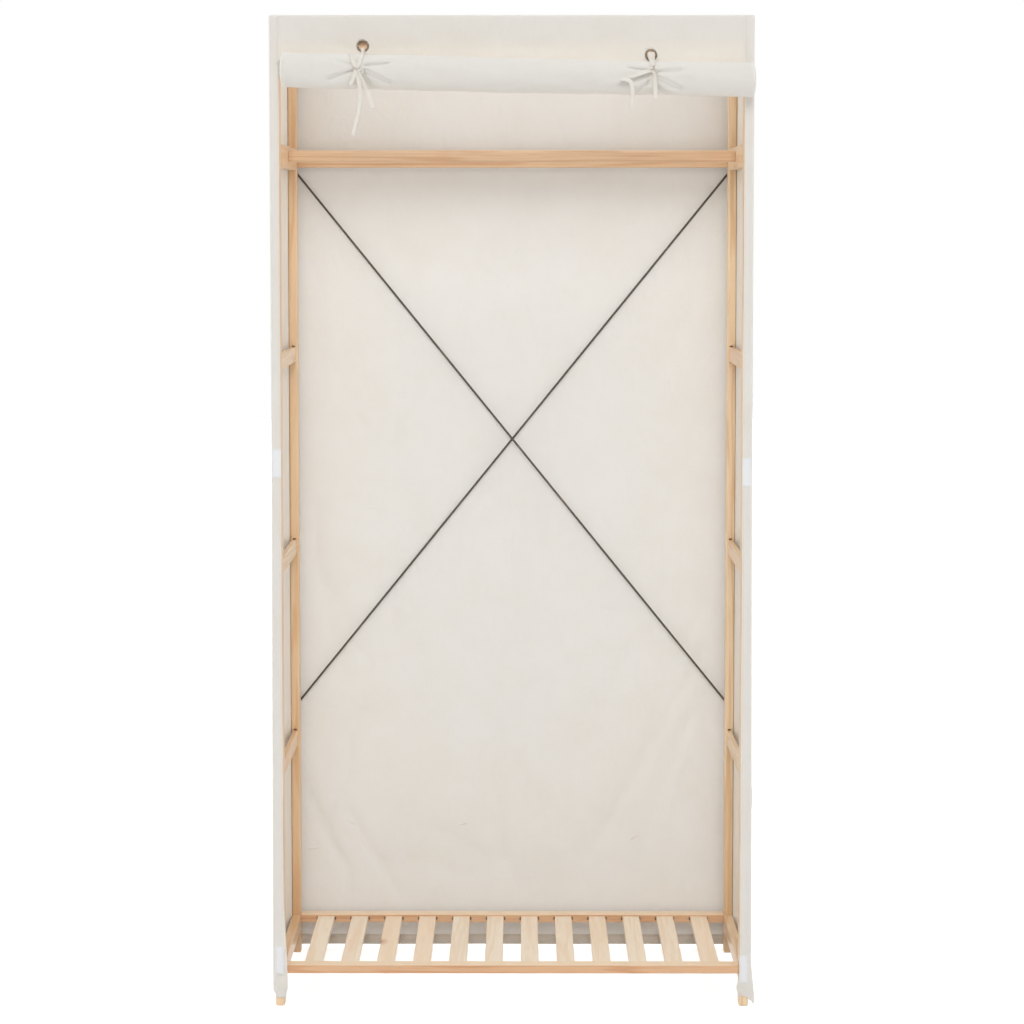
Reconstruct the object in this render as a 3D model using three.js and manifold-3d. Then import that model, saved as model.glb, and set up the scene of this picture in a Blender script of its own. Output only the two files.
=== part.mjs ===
// Portable fabric wardrobe: a knock-down pine frame with ladder sides, a slatted shelf,
// a clothes rail and crossed brace rods, under a sewn canvas cover whose front flap is
// rolled up and tied at two eyelets.
// Millimetres, +Z up, the open front towards -Y, the origin under the middle of the object.
import * as THREE from 'three';
import { mergeVertices } from 'three/addons/utils/BufferGeometryUtils.js';
import Module from 'manifold-3d';

const wasm = await Module();
wasm.setup();

// Whole object
const overallHeight = 1700;
const frameWidth = 817;
const frameDepth = 390;

// Clearances
const seatGap = 0.3; // between pieces that rest on or enter each other
const clothGap = 0.4; // between cloth and what it hangs on, and at sewn seams
const cutOverrun = 1; // how far a cutting tool stands out of the face that it enters

// Posts
const postWidth = 16;
const postDepth = 30;
const postEase = 2.5;
const endChamfer = 1.8;

// Side frames: a thick rail at the top, hanger and shelf levels and three thin rungs between
const sideRailThickness = postWidth;
const topSideRailHeight = 38;
const hangerSideRailHeight = 38;
const shelfSideRailHeight = 28;
const hangerLevelDrop = 231.6; // from the top of the posts to the middle of the hanger level
const lowestRungCentre = 404;
const rungThickness = 9;
const rungHeight = 27;
const railEase = 1.5;

// Tenons that join the rails to the posts
const sideTenonLength = 12;
const rungTenonThickness = 5;
const railTenonThickness = 7;
const tenonShoulder = 4;
const rungShoulder = 0.5;
const slotPlay = 3; // the routed slots of rungs and slats run on past their tenons at both ends
const crossTenonLength = 8;
const crossTenonThickness = 8;
const crossTenonWeb = 1; // wood left between a cross rail's mortise and a side rail's

// Cross rails
const topRailHeight = 48;
const topRailThickness = 17;
const topRailSetBack = 4;
const hangingRailHeight = 20;
const hangingRailDepth = 30;
const hangingRailEase = 5;
const hangingRailLift = 2; // middle of the clothes rail above that of the hanger level
const hangingTenonDepth = 14;
const hangingTenonHeight = 10;
const backRailHeight = 28;
const backRailThickness = 20;

// Slatted shelf
const shelfTop = 71.5;
const shelfRailHeight = 14.5;
const slatCount = 12;
const slatWidth = 31;
const slatThickness = 9;
const slatDrop = 2.5; // top of the slats below the top of the shelf rails
const slatTenonLength = 10;
const slatTenonWidth = 30;
const slatTenonThickness = 5;

// Crossed brace rods on the back of the frame
const rodDiameter = 4;
const rodSides = 8;
const rodSteps = 12;
const rodUpperDrop = 17; // upper anchors below the middle of the hanger level
const rodLowerLift = 56; // lower anchors above the middle of the lowest rungs
const rodEyeRadius = 6.5;
const rodEyeThickness = 2;
const rodEyeHole = 2.2;
const rodStart = 4.8; // the round of the rod begins this far from the middle of its eye
const screwHeadRadius = 3.7;
const screwHeadHeight = 2;
const screwShankRadius = 1.7;
const screwLength = 14;
const screwHoleRadius = 2.1;
const roundSides = 12;

// Canvas cover
const clothThickness = 2;
const hemHeight = 19;
const hemThickness = 1; // the second layer of cloth in a hem
const sideHemFloor = 14;
const backHemFloor = 6;
const sideFoldDepth = 7;
const sideFoldCount = 1.5;
const backFoldDepth = 7;
const backFoldCount = 2.5;
const topSag = 6;
const cornerFlare = 3; // the front lower corners of the cover stand out
const flareHeight = 70;
const stripInset = 1; // the front strips leave this much of each post's inner edge bare
const valanceLap = 14; // the valance ends this far above the middle of the roll

// Rolled front flap
const rollLeftInset = 14.5; // the left end of the roll inside the side of the frame
const rollRightReach = 1.5; // the right end of the roll outside the side of the frame
const rollLeftDrop = 98; // middle of the roll's ends below the top of the object
const rollRightDrop = 115.5;
const rollEndRadius = 29;
const rollMiddleSwell = 3;
const rollTiePinch = 1.6;
const pinchWidth = 34;
const rollTurns = 3.5;
const stepsPerTurn = 14;
const lapSpacing = 1.7; // how far each lap lies inside the one before, at the outside
const lapOpening = 1.1; // how much that spacing grows with each lap
const sheetRise = 22; // the flap is sewn to the valance this far above the middle of the roll
const sheetFall = 4;

// Eyelets and ties
const eyeletOuterRadius = 10.5;
const eyeletHoleRadius = 7;
const eyeletBarrelWall = 1;
const eyeletFlange = 1.2;
const eyeletSides = 20;
const leftEyeletInset = 157.5; // from the side of the frame
const rightEyeletInset = 173.5;
const leftEyeletLift = 49.1; // above the middle of the roll
const rightEyeletLift = 44.2;
const tieDiameter = 5;
const tieSides = 8;
const tieStep = 13;
const knotRadius = 6.5;

// Hook-and-loop patches on the front strips
const patchWidth = 15;
const patchHeight = 49;
const patchThickness = 1;
const middlePatchDrop = 758; // from the top of the object
const lowerPatchCentre = 81;
const rightPatchDrop = 15;

// Sizes that follow
const postHeight = overallHeight - clothThickness - clothGap;
const postX = (frameWidth - postWidth) / 2;
const postY = (frameDepth - postDepth) / 2;
const innerWidth = frameWidth - postWidth * 2;
const innerDepth = frameDepth - postDepth * 2;
const frontFace = -frameDepth / 2;
const backFace = frameDepth / 2;
const sideInner = frameWidth / 2 + clothGap;
const sideOuter = sideInner + clothThickness;
const stripBack = frontFace - clothGap;
const stripFront = stripBack - clothThickness;
const backInner = backFace + seatGap * 2 + rodDiameter * 2 + clothGap;
const backOuter = backInner + clothThickness;
const topInner = overallHeight - clothThickness;
const flapBack = stripFront - clothGap;
const flapFront = flapBack - clothThickness;
const hangerLevelCentre = postHeight - hangerLevelDrop;
const hangingRailCentre = hangerLevelCentre + hangingRailLift;
const rodUpperAnchor = hangerLevelCentre - rodUpperDrop;
const rodLowerAnchor = lowestRungCentre + rodLowerLift;
const rollLeft = rollLeftInset - frameWidth / 2;
const rollRight = frameWidth / 2 + rollRightReach;
const leftEyelet = eyeletPlace(leftEyeletInset - frameWidth / 2, leftEyeletLift);
const rightEyelet = eyeletPlace(frameWidth / 2 - rightEyeletInset, rightEyeletLift);
const middlePatchCentre = overallHeight - middlePatchDrop;
const crossTenonOut = sideTenonLength + seatGap * 2 + crossTenonWeb + crossTenonThickness / 2 - postDepth / 2;

// The middle of the roll, which hangs lower at its right end than at its left.
function rollHeight(x) {
  const drop = THREE.MathUtils.mapLinear(x, rollLeft, rollRight, rollLeftDrop, rollRightDrop);
  return overallHeight - drop;
}

function eyeletPlace(x, lift) {
  return { x, z: rollHeight(x) + lift };
}

const pine = new THREE.MeshStandardMaterial({ color: 0xdcb68a, roughness: 0.6, metalness: 0 });
const rodSteel = new THREE.MeshStandardMaterial({ color: 0x645f58, roughness: 0.45, metalness: 0.8 });
const canvas = new THREE.MeshStandardMaterial({ color: 0xe9e4da, roughness: 0.95, metalness: 0 });
const cotton = new THREE.MeshStandardMaterial({ color: 0xf1ebdf, roughness: 0.95, metalness: 0 });
const eyeletMetal = new THREE.MeshStandardMaterial({ color: 0x6b6459, roughness: 0.35, metalness: 0.9 });
const hookTape = new THREE.MeshStandardMaterial({ color: 0xe3e5ec, roughness: 0.9, metalness: 0 });

const wardrobe = new THREE.Group();
const sides = [
  { name: 'left', sign: -1, x: -postX },
  { name: 'right', sign: 1, x: postX },
];

// Solid helpers
function toSolid(geometry) {
  const bare = geometry.clone();
  bare.deleteAttribute('normal');
  bare.deleteAttribute('uv');
  const merged = mergeVertices(bare);
  return new wasm.Manifold(new wasm.Mesh({
    numProp: 3,
    vertProperties: new Float32Array(merged.attributes.position.array),
    triVerts: new Uint32Array(merged.index.array),
  }));
}

function fromSolid(solid) {
  const mesh = solid.getMesh();
  const geometry = new THREE.BufferGeometry();
  geometry.setAttribute('position', new THREE.BufferAttribute(mesh.vertProperties, 3));
  geometry.setIndex(new THREE.BufferAttribute(mesh.triVerts, 1));
  geometry.computeVertexNormals();
  return geometry;
}

function join(geometries) {
  return fromSolid(geometries.map(toSolid).reduce((whole, next) => whole.add(next)));
}

function cut(geometry, tools) {
  return fromSolid(tools.map(toSolid).reduce((whole, next) => whole.subtract(next), toSolid(geometry)));
}

// A closed surface from points and triangles, turned so that its faces point out.
function closedSurface(points, triangles) {
  const a = new THREE.Vector3();
  const volume = triangles.reduce((sum, [i, j, k]) => (
    sum + a.crossVectors(points[j], points[k]).dot(points[i])), 0);
  const facing = volume < 0 ? triangles.map(([i, j, k]) => [i, k, j]) : triangles;
  const geometry = new THREE.BufferGeometry().setFromPoints(points);
  geometry.setIndex(facing.flat());
  geometry.computeVertexNormals();
  return geometry;
}

function addPiece(name, geometry, material, x = 0, y = 0, z = 0) {
  const piece = new THREE.Mesh(geometry, material.clone());
  piece.name = name;
  piece.position.set(x, y, z);
  wardrobe.add(piece);
  return piece;
}

// Timber
function easedRectangle(width, height, ease) {
  const x = width / 2;
  const y = height / 2;
  const shape = new THREE.Shape();
  shape.moveTo(ease - x, -y);
  shape.lineTo(x - ease, -y);
  shape.absarc(x - ease, ease - y, ease, -Math.PI / 2, 0);
  shape.lineTo(x, y - ease);
  shape.absarc(x - ease, y - ease, ease, 0, Math.PI / 2);
  shape.lineTo(ease - x, y);
  shape.absarc(ease - x, y - ease, ease, Math.PI / 2, Math.PI);
  shape.lineTo(-x, ease - y);
  shape.absarc(ease - x, ease - y, ease, Math.PI, Math.PI * 1.5);
  return shape;
}

const alongAxis = {
  x: new THREE.Matrix4().makeBasis(
    new THREE.Vector3(0, 1, 0), new THREE.Vector3(0, 0, 1), new THREE.Vector3(1, 0, 0)),
  y: new THREE.Matrix4().makeBasis(
    new THREE.Vector3(1, 0, 0), new THREE.Vector3(0, 0, 1), new THREE.Vector3(0, -1, 0)),
};

// A bar centred on the origin: width is its size across the level, height its size up.
function bar(axis, length, width, height, ease) {
  const geometry = new THREE.ExtrudeGeometry(easedRectangle(width, height, ease), {
    depth: length, bevelEnabled: false, curveSegments: 2,
  });
  geometry.translate(0, 0, -length / 2);
  return geometry.applyMatrix4(alongAxis[axis]);
}

function tenonedBar(axis, length, width, height, ease, tenon) {
  const size = axis === 'x'
    ? [length + tenon.length * 2, tenon.width, tenon.height]
    : [tenon.width, length + tenon.length * 2, tenon.height];
  const core = new THREE.BoxGeometry(...size).translate(0, tenon.shift ?? 0, 0);
  return join([bar(axis, length, width, height, ease), core]);
}

// Every rail that runs from a front post to a back post, with its tenons: how thick they are,
// how much lower than the rail above and below, and how much higher their mortises are.
const railTenon = { tenonThickness: railTenonThickness, shoulder: tenonShoulder, play: seatGap };
const rungTenon = { tenonThickness: rungTenonThickness, shoulder: rungShoulder, play: slotPlay };
const sideRails = [
  {
    name: 'side_rail_top', z: postHeight - topSideRailHeight / 2,
    thickness: sideRailThickness, height: topSideRailHeight, ...railTenon,
  },
  {
    name: 'side_rail_hanger', z: hangerLevelCentre,
    thickness: sideRailThickness, height: hangerSideRailHeight, ...railTenon,
  },
  ...['lower', 'middle', 'upper'].map((level, index, levels) => ({
    name: `side_rung_${level}`,
    z: THREE.MathUtils.mapLinear(index, 0, levels.length, lowestRungCentre, hangerLevelCentre),
    thickness: rungThickness, height: rungHeight, ...rungTenon,
  })),
  {
    name: 'side_rail_shelf', z: shelfTop - shelfSideRailHeight / 2,
    thickness: sideRailThickness, height: shelfSideRailHeight, ...railTenon,
  },
];

// Every rail that runs across between two posts; y is taken from the middle of the posts.
const crossTenon = { length: crossTenonLength, width: crossTenonThickness };
const crossRails = [
  {
    name: 'top_front_rail', row: 'front', z: postHeight - topRailHeight / 2, height: topRailHeight,
    width: topRailThickness, y: topRailSetBack + topRailThickness / 2 - postDepth / 2,
  },
  {
    name: 'top_back_rail', row: 'back', z: postHeight - topRailHeight / 2, height: topRailHeight,
    width: topRailThickness, y: crossTenonOut,
  },
  {
    name: 'back_rail', row: 'back', z: hangerLevelCentre, height: backRailHeight,
    width: backRailThickness, y: crossTenonOut,
  },
  {
    name: 'shelf_front_rail', row: 'front', z: shelfTop - shelfRailHeight / 2,
    height: shelfRailHeight, width: postDepth, y: 0,
  },
  {
    name: 'shelf_back_rail', row: 'back', z: shelfTop - shelfRailHeight / 2,
    height: shelfRailHeight, width: postDepth, y: 0,
  },
];
const rows = { front: -1, back: 1 };

function sideTenonHeight(rail) {
  return rail.height - rail.shoulder * 2;
}

function crossTenonHeight(rail) {
  return rail.height > slatThickness * 2 ? rail.height - tenonShoulder * 2 : slatThickness;
}

// Posts, with a blind mortise for every tenon and pilot holes for the brace screws
function mortise(x, y, z, width, depth, height) {
  return new THREE.BoxGeometry(width, depth, height).translate(x, y, z);
}

function postGeometry(row, side) {
  const facing = rows[row];
  const outline = easedRectangle(postWidth, postDepth, postEase);
  const post = new THREE.ExtrudeGeometry(outline, {
    depth: postHeight - endChamfer * 2, curveSegments: 2,
    bevelThickness: endChamfer, bevelSize: endChamfer, bevelOffset: -endChamfer, bevelSegments: 1,
  });
  post.translate(0, 0, endChamfer);
  const sideDepth = sideTenonLength + seatGap + cutOverrun;
  const sideY = -facing * (postDepth / 2 + cutOverrun - sideDepth / 2);
  const tools = sideRails.map((rail) => mortise(
    0, sideY, rail.z, rail.tenonThickness + seatGap * 2, sideDepth, sideTenonHeight(rail) + rail.play * 2));
  const crossDepth = crossTenonLength + seatGap + cutOverrun;
  const crossX = -side.sign * (postWidth / 2 + cutOverrun - crossDepth / 2);
  for (const rail of crossRails.filter((each) => each.row === row)) {
    tools.push(mortise(crossX, facing * crossTenonOut, rail.z, crossDepth,
      crossTenonThickness + seatGap * 2, crossTenonHeight(rail) + seatGap * 2));
  }
  if (row === 'back') {
    for (const z of [rodUpperAnchor, rodLowerAnchor]) {
      const hole = new THREE.CylinderGeometry(
        screwHoleRadius, screwHoleRadius, screwLength + cutOverrun, roundSides);
      tools.push(hole.translate(0, postDepth / 2 + cutOverrun - (screwLength + cutOverrun) / 2, z));
    }
  }
  return cut(post, tools);
}

for (const row of Object.keys(rows)) {
  for (const side of sides) {
    addPiece(`post_${row}_${side.name}`, postGeometry(row, side), pine, side.x, rows[row] * postY);
  }
}

// Side rails and rungs; the hanger-level rails take the ends of the clothes rail
for (const side of sides) {
  for (const rail of sideRails) {
    const tenon = {
      length: sideTenonLength, width: rail.tenonThickness, height: sideTenonHeight(rail),
    };
    let geometry = tenonedBar('y', innerDepth - seatGap * 2, rail.thickness, rail.height, railEase, tenon);
    if (rail.name === 'side_rail_hanger') {
      const depth = crossTenonLength + seatGap + cutOverrun;
      geometry = cut(geometry, [mortise(
        -side.sign * (sideRailThickness / 2 + cutOverrun - depth / 2), 0, hangingRailCentre - rail.z,
        depth, hangingTenonDepth + seatGap * 2, hangingTenonHeight + seatGap * 2)]);
    }
    addPiece(`${rail.name}_${side.name}`, geometry, pine, side.x, 0, rail.z);
  }
}

// Cross rails; the shelf rails have a mortise for each tenon of the slats
const slatGap = (innerWidth - slatWidth * slatCount) / (slatCount + 1);
const slatPitch = slatWidth + slatGap;
const slatZ = shelfTop - slatDrop - slatThickness / 2;

function slatX(index) {
  return slatPitch * (index + 1 / 2) + slatGap / 2 - innerWidth / 2;
}

function slatMortises(facing, railZ) {
  const depth = slatTenonLength + seatGap + cutOverrun;
  return Array.from({ length: slatCount }, (_, index) => mortise(
    slatX(index), -facing * (postDepth / 2 + cutOverrun - depth / 2), slatZ - railZ,
    slatTenonWidth + slotPlay * 2, depth, slatTenonThickness + seatGap * 2));
}

for (const rail of crossRails) {
  const facing = rows[rail.row];
  const tenon = {
    ...crossTenon, height: crossTenonHeight(rail), shift: facing * crossTenonOut - rail.y,
  };
  let geometry = tenonedBar('x', innerWidth - seatGap * 2, rail.width, rail.height, railEase, tenon);
  if (rail.name.startsWith('shelf')) {
    geometry = cut(geometry, slatMortises(facing, rail.z));
  }
  addPiece(rail.name, geometry, pine, 0, facing * postY + rail.y, rail.z);
}

addPiece('hanging_rail', tenonedBar('x', innerWidth - seatGap * 2, hangingRailDepth, hangingRailHeight,
  hangingRailEase, { length: crossTenonLength, width: hangingTenonDepth, height: hangingTenonHeight }),
pine, 0, 0, hangingRailCentre);

for (let index = 0; index < slatCount; index += 1) {
  const name = `shelf_slat_${String(index + 1).padStart(2, '0')}`;
  const slat = tenonedBar('y', innerDepth - seatGap * 2, slatWidth, slatThickness, railEase,
    { length: slatTenonLength, width: slatTenonWidth, height: slatTenonThickness });
  addPiece(name, slat, pine, slatX(index), 0, slatZ);
}

// Brace rods: each runs from an upper anchor to the opposite lower one, with a flattened eye
// at both ends. The one that passes over the other bows back by its own diameter.
class BowedLine extends THREE.Curve {
  constructor(start, end, bow) {
    super();
    this.start = start;
    this.end = end;
    this.bow = bow;
  }

  getPoint(share, target = new THREE.Vector3()) {
    target.lerpVectors(this.start, this.end, share);
    target.y += this.bow * Math.sin(Math.PI * share);
    return target;
  }
}

function roundSection(radius, count) {
  const corners = Array.from({ length: count }, (_, index) => {
    const angle = (Math.PI * 2 * index) / count;
    return new THREE.Vector2(Math.cos(angle), Math.sin(angle)).multiplyScalar(radius);
  });
  return new THREE.Shape(corners);
}

function braceRod(sign, bow) {
  const rodY = seatGap + rodDiameter / 2;
  const upper = new THREE.Vector3(sign * postX, rodY, rodUpperAnchor);
  const lower = new THREE.Vector3(-sign * postX, rodY, rodLowerAnchor);
  const along = lower.clone().sub(upper).normalize().multiplyScalar(rodStart);
  const line = new BowedLine(upper.clone().add(along), lower.clone().sub(along), bow);
  const rod = new THREE.ExtrudeGeometry(roundSection(rodDiameter / 2, rodSides), {
    steps: bow > 0 ? rodSteps : 1, extrudePath: line,
  });
  const eyes = [upper, lower].map((at) => (
    new THREE.CylinderGeometry(rodEyeRadius, rodEyeRadius, rodEyeThickness, roundSides)
      .translate(at.x, seatGap + rodEyeThickness / 2, at.z)));
  const holes = [upper, lower].map((at) => (
    new THREE.CylinderGeometry(rodEyeHole, rodEyeHole, rodEyeThickness + cutOverrun * 2, roundSides)
      .translate(at.x, seatGap + rodEyeThickness / 2, at.z)));
  return cut(join([rod, ...eyes]), holes);
}

addPiece('brace_rod_under', braceRod(-1, 0), rodSteel, 0, backFace);
addPiece('brace_rod_over', braceRod(1, rodDiameter + seatGap), rodSteel, 0, backFace);

function braceScrew() {
  const profile = [
    [0, -screwLength],
    [screwShankRadius, -screwLength],
    [screwShankRadius, 0],
    [screwHeadRadius, 0],
    [screwHeadRadius, screwHeadHeight / 2],
    [screwHeadRadius / 2, screwHeadHeight],
    [0, screwHeadHeight],
  ].map(([radius, height]) => new THREE.Vector2(radius, height));
  return new THREE.LatheGeometry(profile, roundSides);
}

const screwSeat = backFace + seatGap * 2 + rodEyeThickness;
for (const side of sides) {
  addPiece(`brace_screw_upper_${side.name}`, braceScrew(), rodSteel, side.x, screwSeat, rodUpperAnchor);
  addPiece(`brace_screw_lower_${side.name}`, braceScrew(), rodSteel, side.x, screwSeat, rodLowerAnchor);
}

// Cloth: a closed sheet on a grid. place gives a point of the inner face from its shares across
// and down, and out the way that the cloth thickens.
function evenShares(count) {
  return Array.from({ length: count + 1 }, (_, index) => index / count);
}

function clothSheet(across, down, place, out, thickness) {
  const columns = across.length;
  const inner = down.flatMap((v) => across.map((u) => place(u, v)));
  const outer = down.flatMap((v) => across.map((u) => (
    place(u, v).addScaledVector(out, thickness(u, v)))));
  const shift = inner.length;
  const triangles = [];
  const quad = (a, b, c, d) => triangles.push([a, b, c], [a, c, d]);
  const at = (row, column) => row * columns + column;
  for (let row = 0; row + 1 < down.length; row += 1) {
    for (let column = 0; column + 1 < columns; column += 1) {
      const [a, b] = [at(row, column), at(row, column + 1)];
      const [c, d] = [at(row + 1, column + 1), at(row + 1, column)];
      quad(a, b, c, d);
      quad(a + shift, d + shift, c + shift, b + shift);
    }
    quad(at(row, 0), at(row + 1, 0), at(row + 1, 0) + shift, at(row, 0) + shift);
    const last = columns - 1;
    quad(at(row + 1, last), at(row, last), at(row, last) + shift, at(row + 1, last) + shift);
  }
  for (let column = 0; column + 1 < columns; column += 1) {
    quad(at(0, column + 1), at(0, column), at(0, column) + shift, at(0, column + 1) + shift);
    const foot = down.length - 1;
    quad(at(foot, column), at(foot, column + 1), at(foot, column + 1) + shift, at(foot, column) + shift);
  }
  return closedSurface([...inner, ...outer], triangles);
}

// Rows of a hanging panel from its top to the floor side, with one at the top of its hem.
function hangingShares(count, height) {
  const hemShare = hemHeight / height;
  return [...evenShares(count).map((share) => share * (1 - hemShare)), 1];
}

// Vertical folds that open from the sewn top towards the hem and die out at the side seams.
function folds(u, v, depth, count) {
  const wave = (1 - Math.cos(Math.PI * 2 * count * u + Math.PI * v)) / 2;
  return depth * wave * Math.sin(Math.PI * u) * Math.sin((Math.PI / 2) * v);
}

function flareAt(z) {
  const share = Math.max(0, 1 - (z - sideHemFloor) / flareHeight);
  return cornerFlare * share * share;
}

const panelTop = topInner - clothGap;
const sideBackEdge = backInner - clothGap;

function sidePanel(side) {
  const height = panelTop - sideHemFloor;
  const rowsDown = hangingShares(14, height);
  const hemRow = rowsDown[rowsDown.length - 2];
  const place = (u, v) => {
    const z = panelTop - height * v;
    const y = stripFront + (sideBackEdge - stripFront) * u;
    const x = sideInner + folds(u, v, sideFoldDepth, sideFoldCount) + flareAt(z) * (1 - u);
    return new THREE.Vector3(side.sign * x, y, z);
  };
  return clothSheet(evenShares(8), rowsDown, place, new THREE.Vector3(side.sign, 0, 0),
    (u, v) => (v > hemRow ? clothThickness + hemThickness : clothThickness));
}

function backPanel() {
  const height = panelTop - backHemFloor;
  const rowsDown = hangingShares(12, height);
  const hemRow = rowsDown[rowsDown.length - 2];
  const place = (u, v) => new THREE.Vector3(
    sideOuter * (u * 2 - 1), backInner + folds(u, v, backFoldDepth, backFoldCount), panelTop - height * v);
  return clothSheet(evenShares(18), rowsDown, place, new THREE.Vector3(0, 1, 0),
    (u, v) => (v > hemRow ? clothThickness + hemThickness : clothThickness));
}

// The top lies on the rails all round and sags a little between them.
function topPanel() {
  const spread = (count, low, high, first, last) => [
    low, ...evenShares(count).map((share) => first + (last - first) * share), high];
  const xs = spread(8, -sideOuter, sideOuter, -innerWidth / 2, innerWidth / 2);
  const ys = spread(6, stripFront, backOuter, -innerDepth / 2, innerDepth / 2);
  const sag = (value, span) => Math.max(0, 1 - (value / (span / 2)) ** 2);
  const place = (column, row) => new THREE.Vector3(
    xs[column], ys[row], topInner - topSag * sag(xs[column], innerWidth) * sag(ys[row], innerDepth));
  return clothSheet([...xs.keys()], [...ys.keys()], place, new THREE.Vector3(0, 0, 1),
    () => clothThickness);
}

// The side panels wrap round the front posts: these strips cover the front faces of the posts
// from the top to the hem.
function frontStrip(side) {
  const inner = innerWidth / 2 + stripInset;
  const lowRows = [flareHeight, flareHeight / 2, flareHeight / 4, 0].map((z) => z + sideHemFloor);
  const levels = [panelTop, ...lowRows];
  const place = (u, v) => {
    const z = levels[Math.round(v * (levels.length - 1))];
    const outer = sideInner - clothGap + flareAt(z);
    return new THREE.Vector3(side.sign * (inner + (outer - inner) * u), stripBack, z);
  };
  return clothSheet(evenShares(2), evenShares(levels.length - 1), place, new THREE.Vector3(0, -1, 0),
    () => clothThickness);
}

// The valance is sewn between the strips and carries the eyelets; its lower edge runs along the
// roll, hidden behind it.
function valance() {
  const half = innerWidth / 2 + stripInset - clothGap;
  const place = (u, v) => {
    const x = half * (u * 2 - 1);
    const foot = rollHeight(x) + valanceLap;
    return new THREE.Vector3(x, stripBack, panelTop + (foot - panelTop) * v);
  };
  const sheet = clothSheet(evenShares(4), evenShares(1), place, new THREE.Vector3(0, -1, 0),
    () => clothThickness);
  const barrel = eyeletHoleRadius + eyeletBarrelWall + seatGap;
  return cut(sheet, [leftEyelet, rightEyelet].map((at) => (
    new THREE.CylinderGeometry(barrel, barrel, clothThickness + cutOverrun * 2, eyeletSides)
      .translate(at.x, (stripBack + stripFront) / 2, at.z))));
}

addPiece('cover_top', topPanel(), canvas);
addPiece('cover_back', backPanel(), canvas);
for (const side of sides) {
  addPiece(`cover_side_${side.name}`, sidePanel(side), canvas);
  addPiece(`front_strip_${side.name}`, frontStrip(side), canvas);
}
addPiece('cover_valance', valance(), canvas);

// The flap hangs from the valance as a short sheet and goes on as a spiral round the roll.
function flapSheet() {
  const place = (u, v) => {
    const x = rollLeft + (rollRight - rollLeft) * u;
    return new THREE.Vector3(x, flapBack, rollHeight(x) + sheetRise - (sheetRise + sheetFall) * v);
  };
  return clothSheet(evenShares(6), evenShares(1), place, new THREE.Vector3(0, -1, 0),
    () => clothThickness);
}

function rollRadius(x) {
  const share = (x - rollLeft) / (rollRight - rollLeft);
  const pinch = [leftEyelet.x, rightEyelet.x].reduce((sum, tie) => (
    sum + rollTiePinch * Math.max(0, 1 - Math.abs(x - tie) / pinchWidth)), 0);
  return rollEndRadius + rollMiddleSwell * Math.sin(Math.PI * share) - pinch;
}

// The lap of cloth after some turns from the back of the roll, down, round the front and in.
function lapRadius(x, turns) {
  return rollRadius(x) + lapSpacing / 2 - turns * (lapSpacing + lapOpening * turns);
}

function rollStations() {
  const ties = [leftEyelet.x, rightEyelet.x];
  const tied = ties.flatMap((x) => [x - pinchWidth, x, x + pinchWidth]);
  const span = ties[1] - ties[0];
  return [rollLeft, ...tied, ...[1, 2, 3].map((step) => ties[0] + (span * step) / 4),
    (ties[1] + pinchWidth + rollRight) / 2, rollRight].sort((a, b) => a - b);
}

function flapRoll() {
  const stations = rollStations();
  const steps = Math.round(rollTurns * stepsPerTurn);
  const points = [];
  for (const x of stations) {
    const middle = flapFront - clothGap - lapRadius(x, 0);
    for (const inset of [0, clothThickness]) {
      for (let step = 0; step <= steps; step += 1) {
        const turns = step / stepsPerTurn;
        const angle = Math.PI * 2 * turns;
        const radius = lapRadius(x, turns) - inset;
        points.push(new THREE.Vector3(
          x, middle + radius * Math.cos(angle), rollHeight(x) - radius * Math.sin(angle)));
      }
    }
  }
  const ring = (steps + 1) * 2;
  const triangles = [];
  const quad = (a, b, c, d) => triangles.push([a, b, c], [a, c, d]);
  const outer = (station, step) => station * ring + step;
  const inner = (station, step) => station * ring + steps + 1 + step;
  for (let station = 0; station + 1 < stations.length; station += 1) {
    const next = station + 1;
    for (let step = 0; step < steps; step += 1) {
      quad(outer(station, step), outer(station, step + 1), outer(next, step + 1), outer(next, step));
      quad(inner(station, step + 1), inner(station, step), inner(next, step), inner(next, step + 1));
    }
    quad(inner(station, 0), outer(station, 0), outer(next, 0), inner(next, 0));
    quad(outer(station, steps), inner(station, steps), inner(next, steps), outer(next, steps));
  }
  const last = stations.length - 1;
  for (let step = 0; step < steps; step += 1) {
    quad(outer(0, step), inner(0, step), inner(0, step + 1), outer(0, step + 1));
    quad(outer(last, step + 1), inner(last, step + 1), inner(last, step), outer(last, step));
  }
  return closedSurface(points, triangles);
}

addPiece('flap_sheet', flapSheet(), canvas);
addPiece('flap_roll', flapRoll(), canvas);

// Eyelets: a barrel through the valance between two flanges
function eyelet() {
  const barrel = eyeletHoleRadius + eyeletBarrelWall;
  const half = clothThickness / 2 + seatGap;
  const flange = half + eyeletFlange;
  const rim = eyeletOuterRadius - eyeletFlange;
  const profile = [
    [eyeletHoleRadius, -half],
    [barrel, -flange],
    [rim, -flange],
    [eyeletOuterRadius, -half],
    [barrel, -half],
    [barrel, half],
    [rim, half],
    [rim, flange],
    [barrel, flange],
    [eyeletHoleRadius, half],
    [eyeletHoleRadius, -half],
  ].map(([radius, y]) => new THREE.Vector2(radius, y));
  return new THREE.LatheGeometry(profile, eyeletSides);
}

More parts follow.
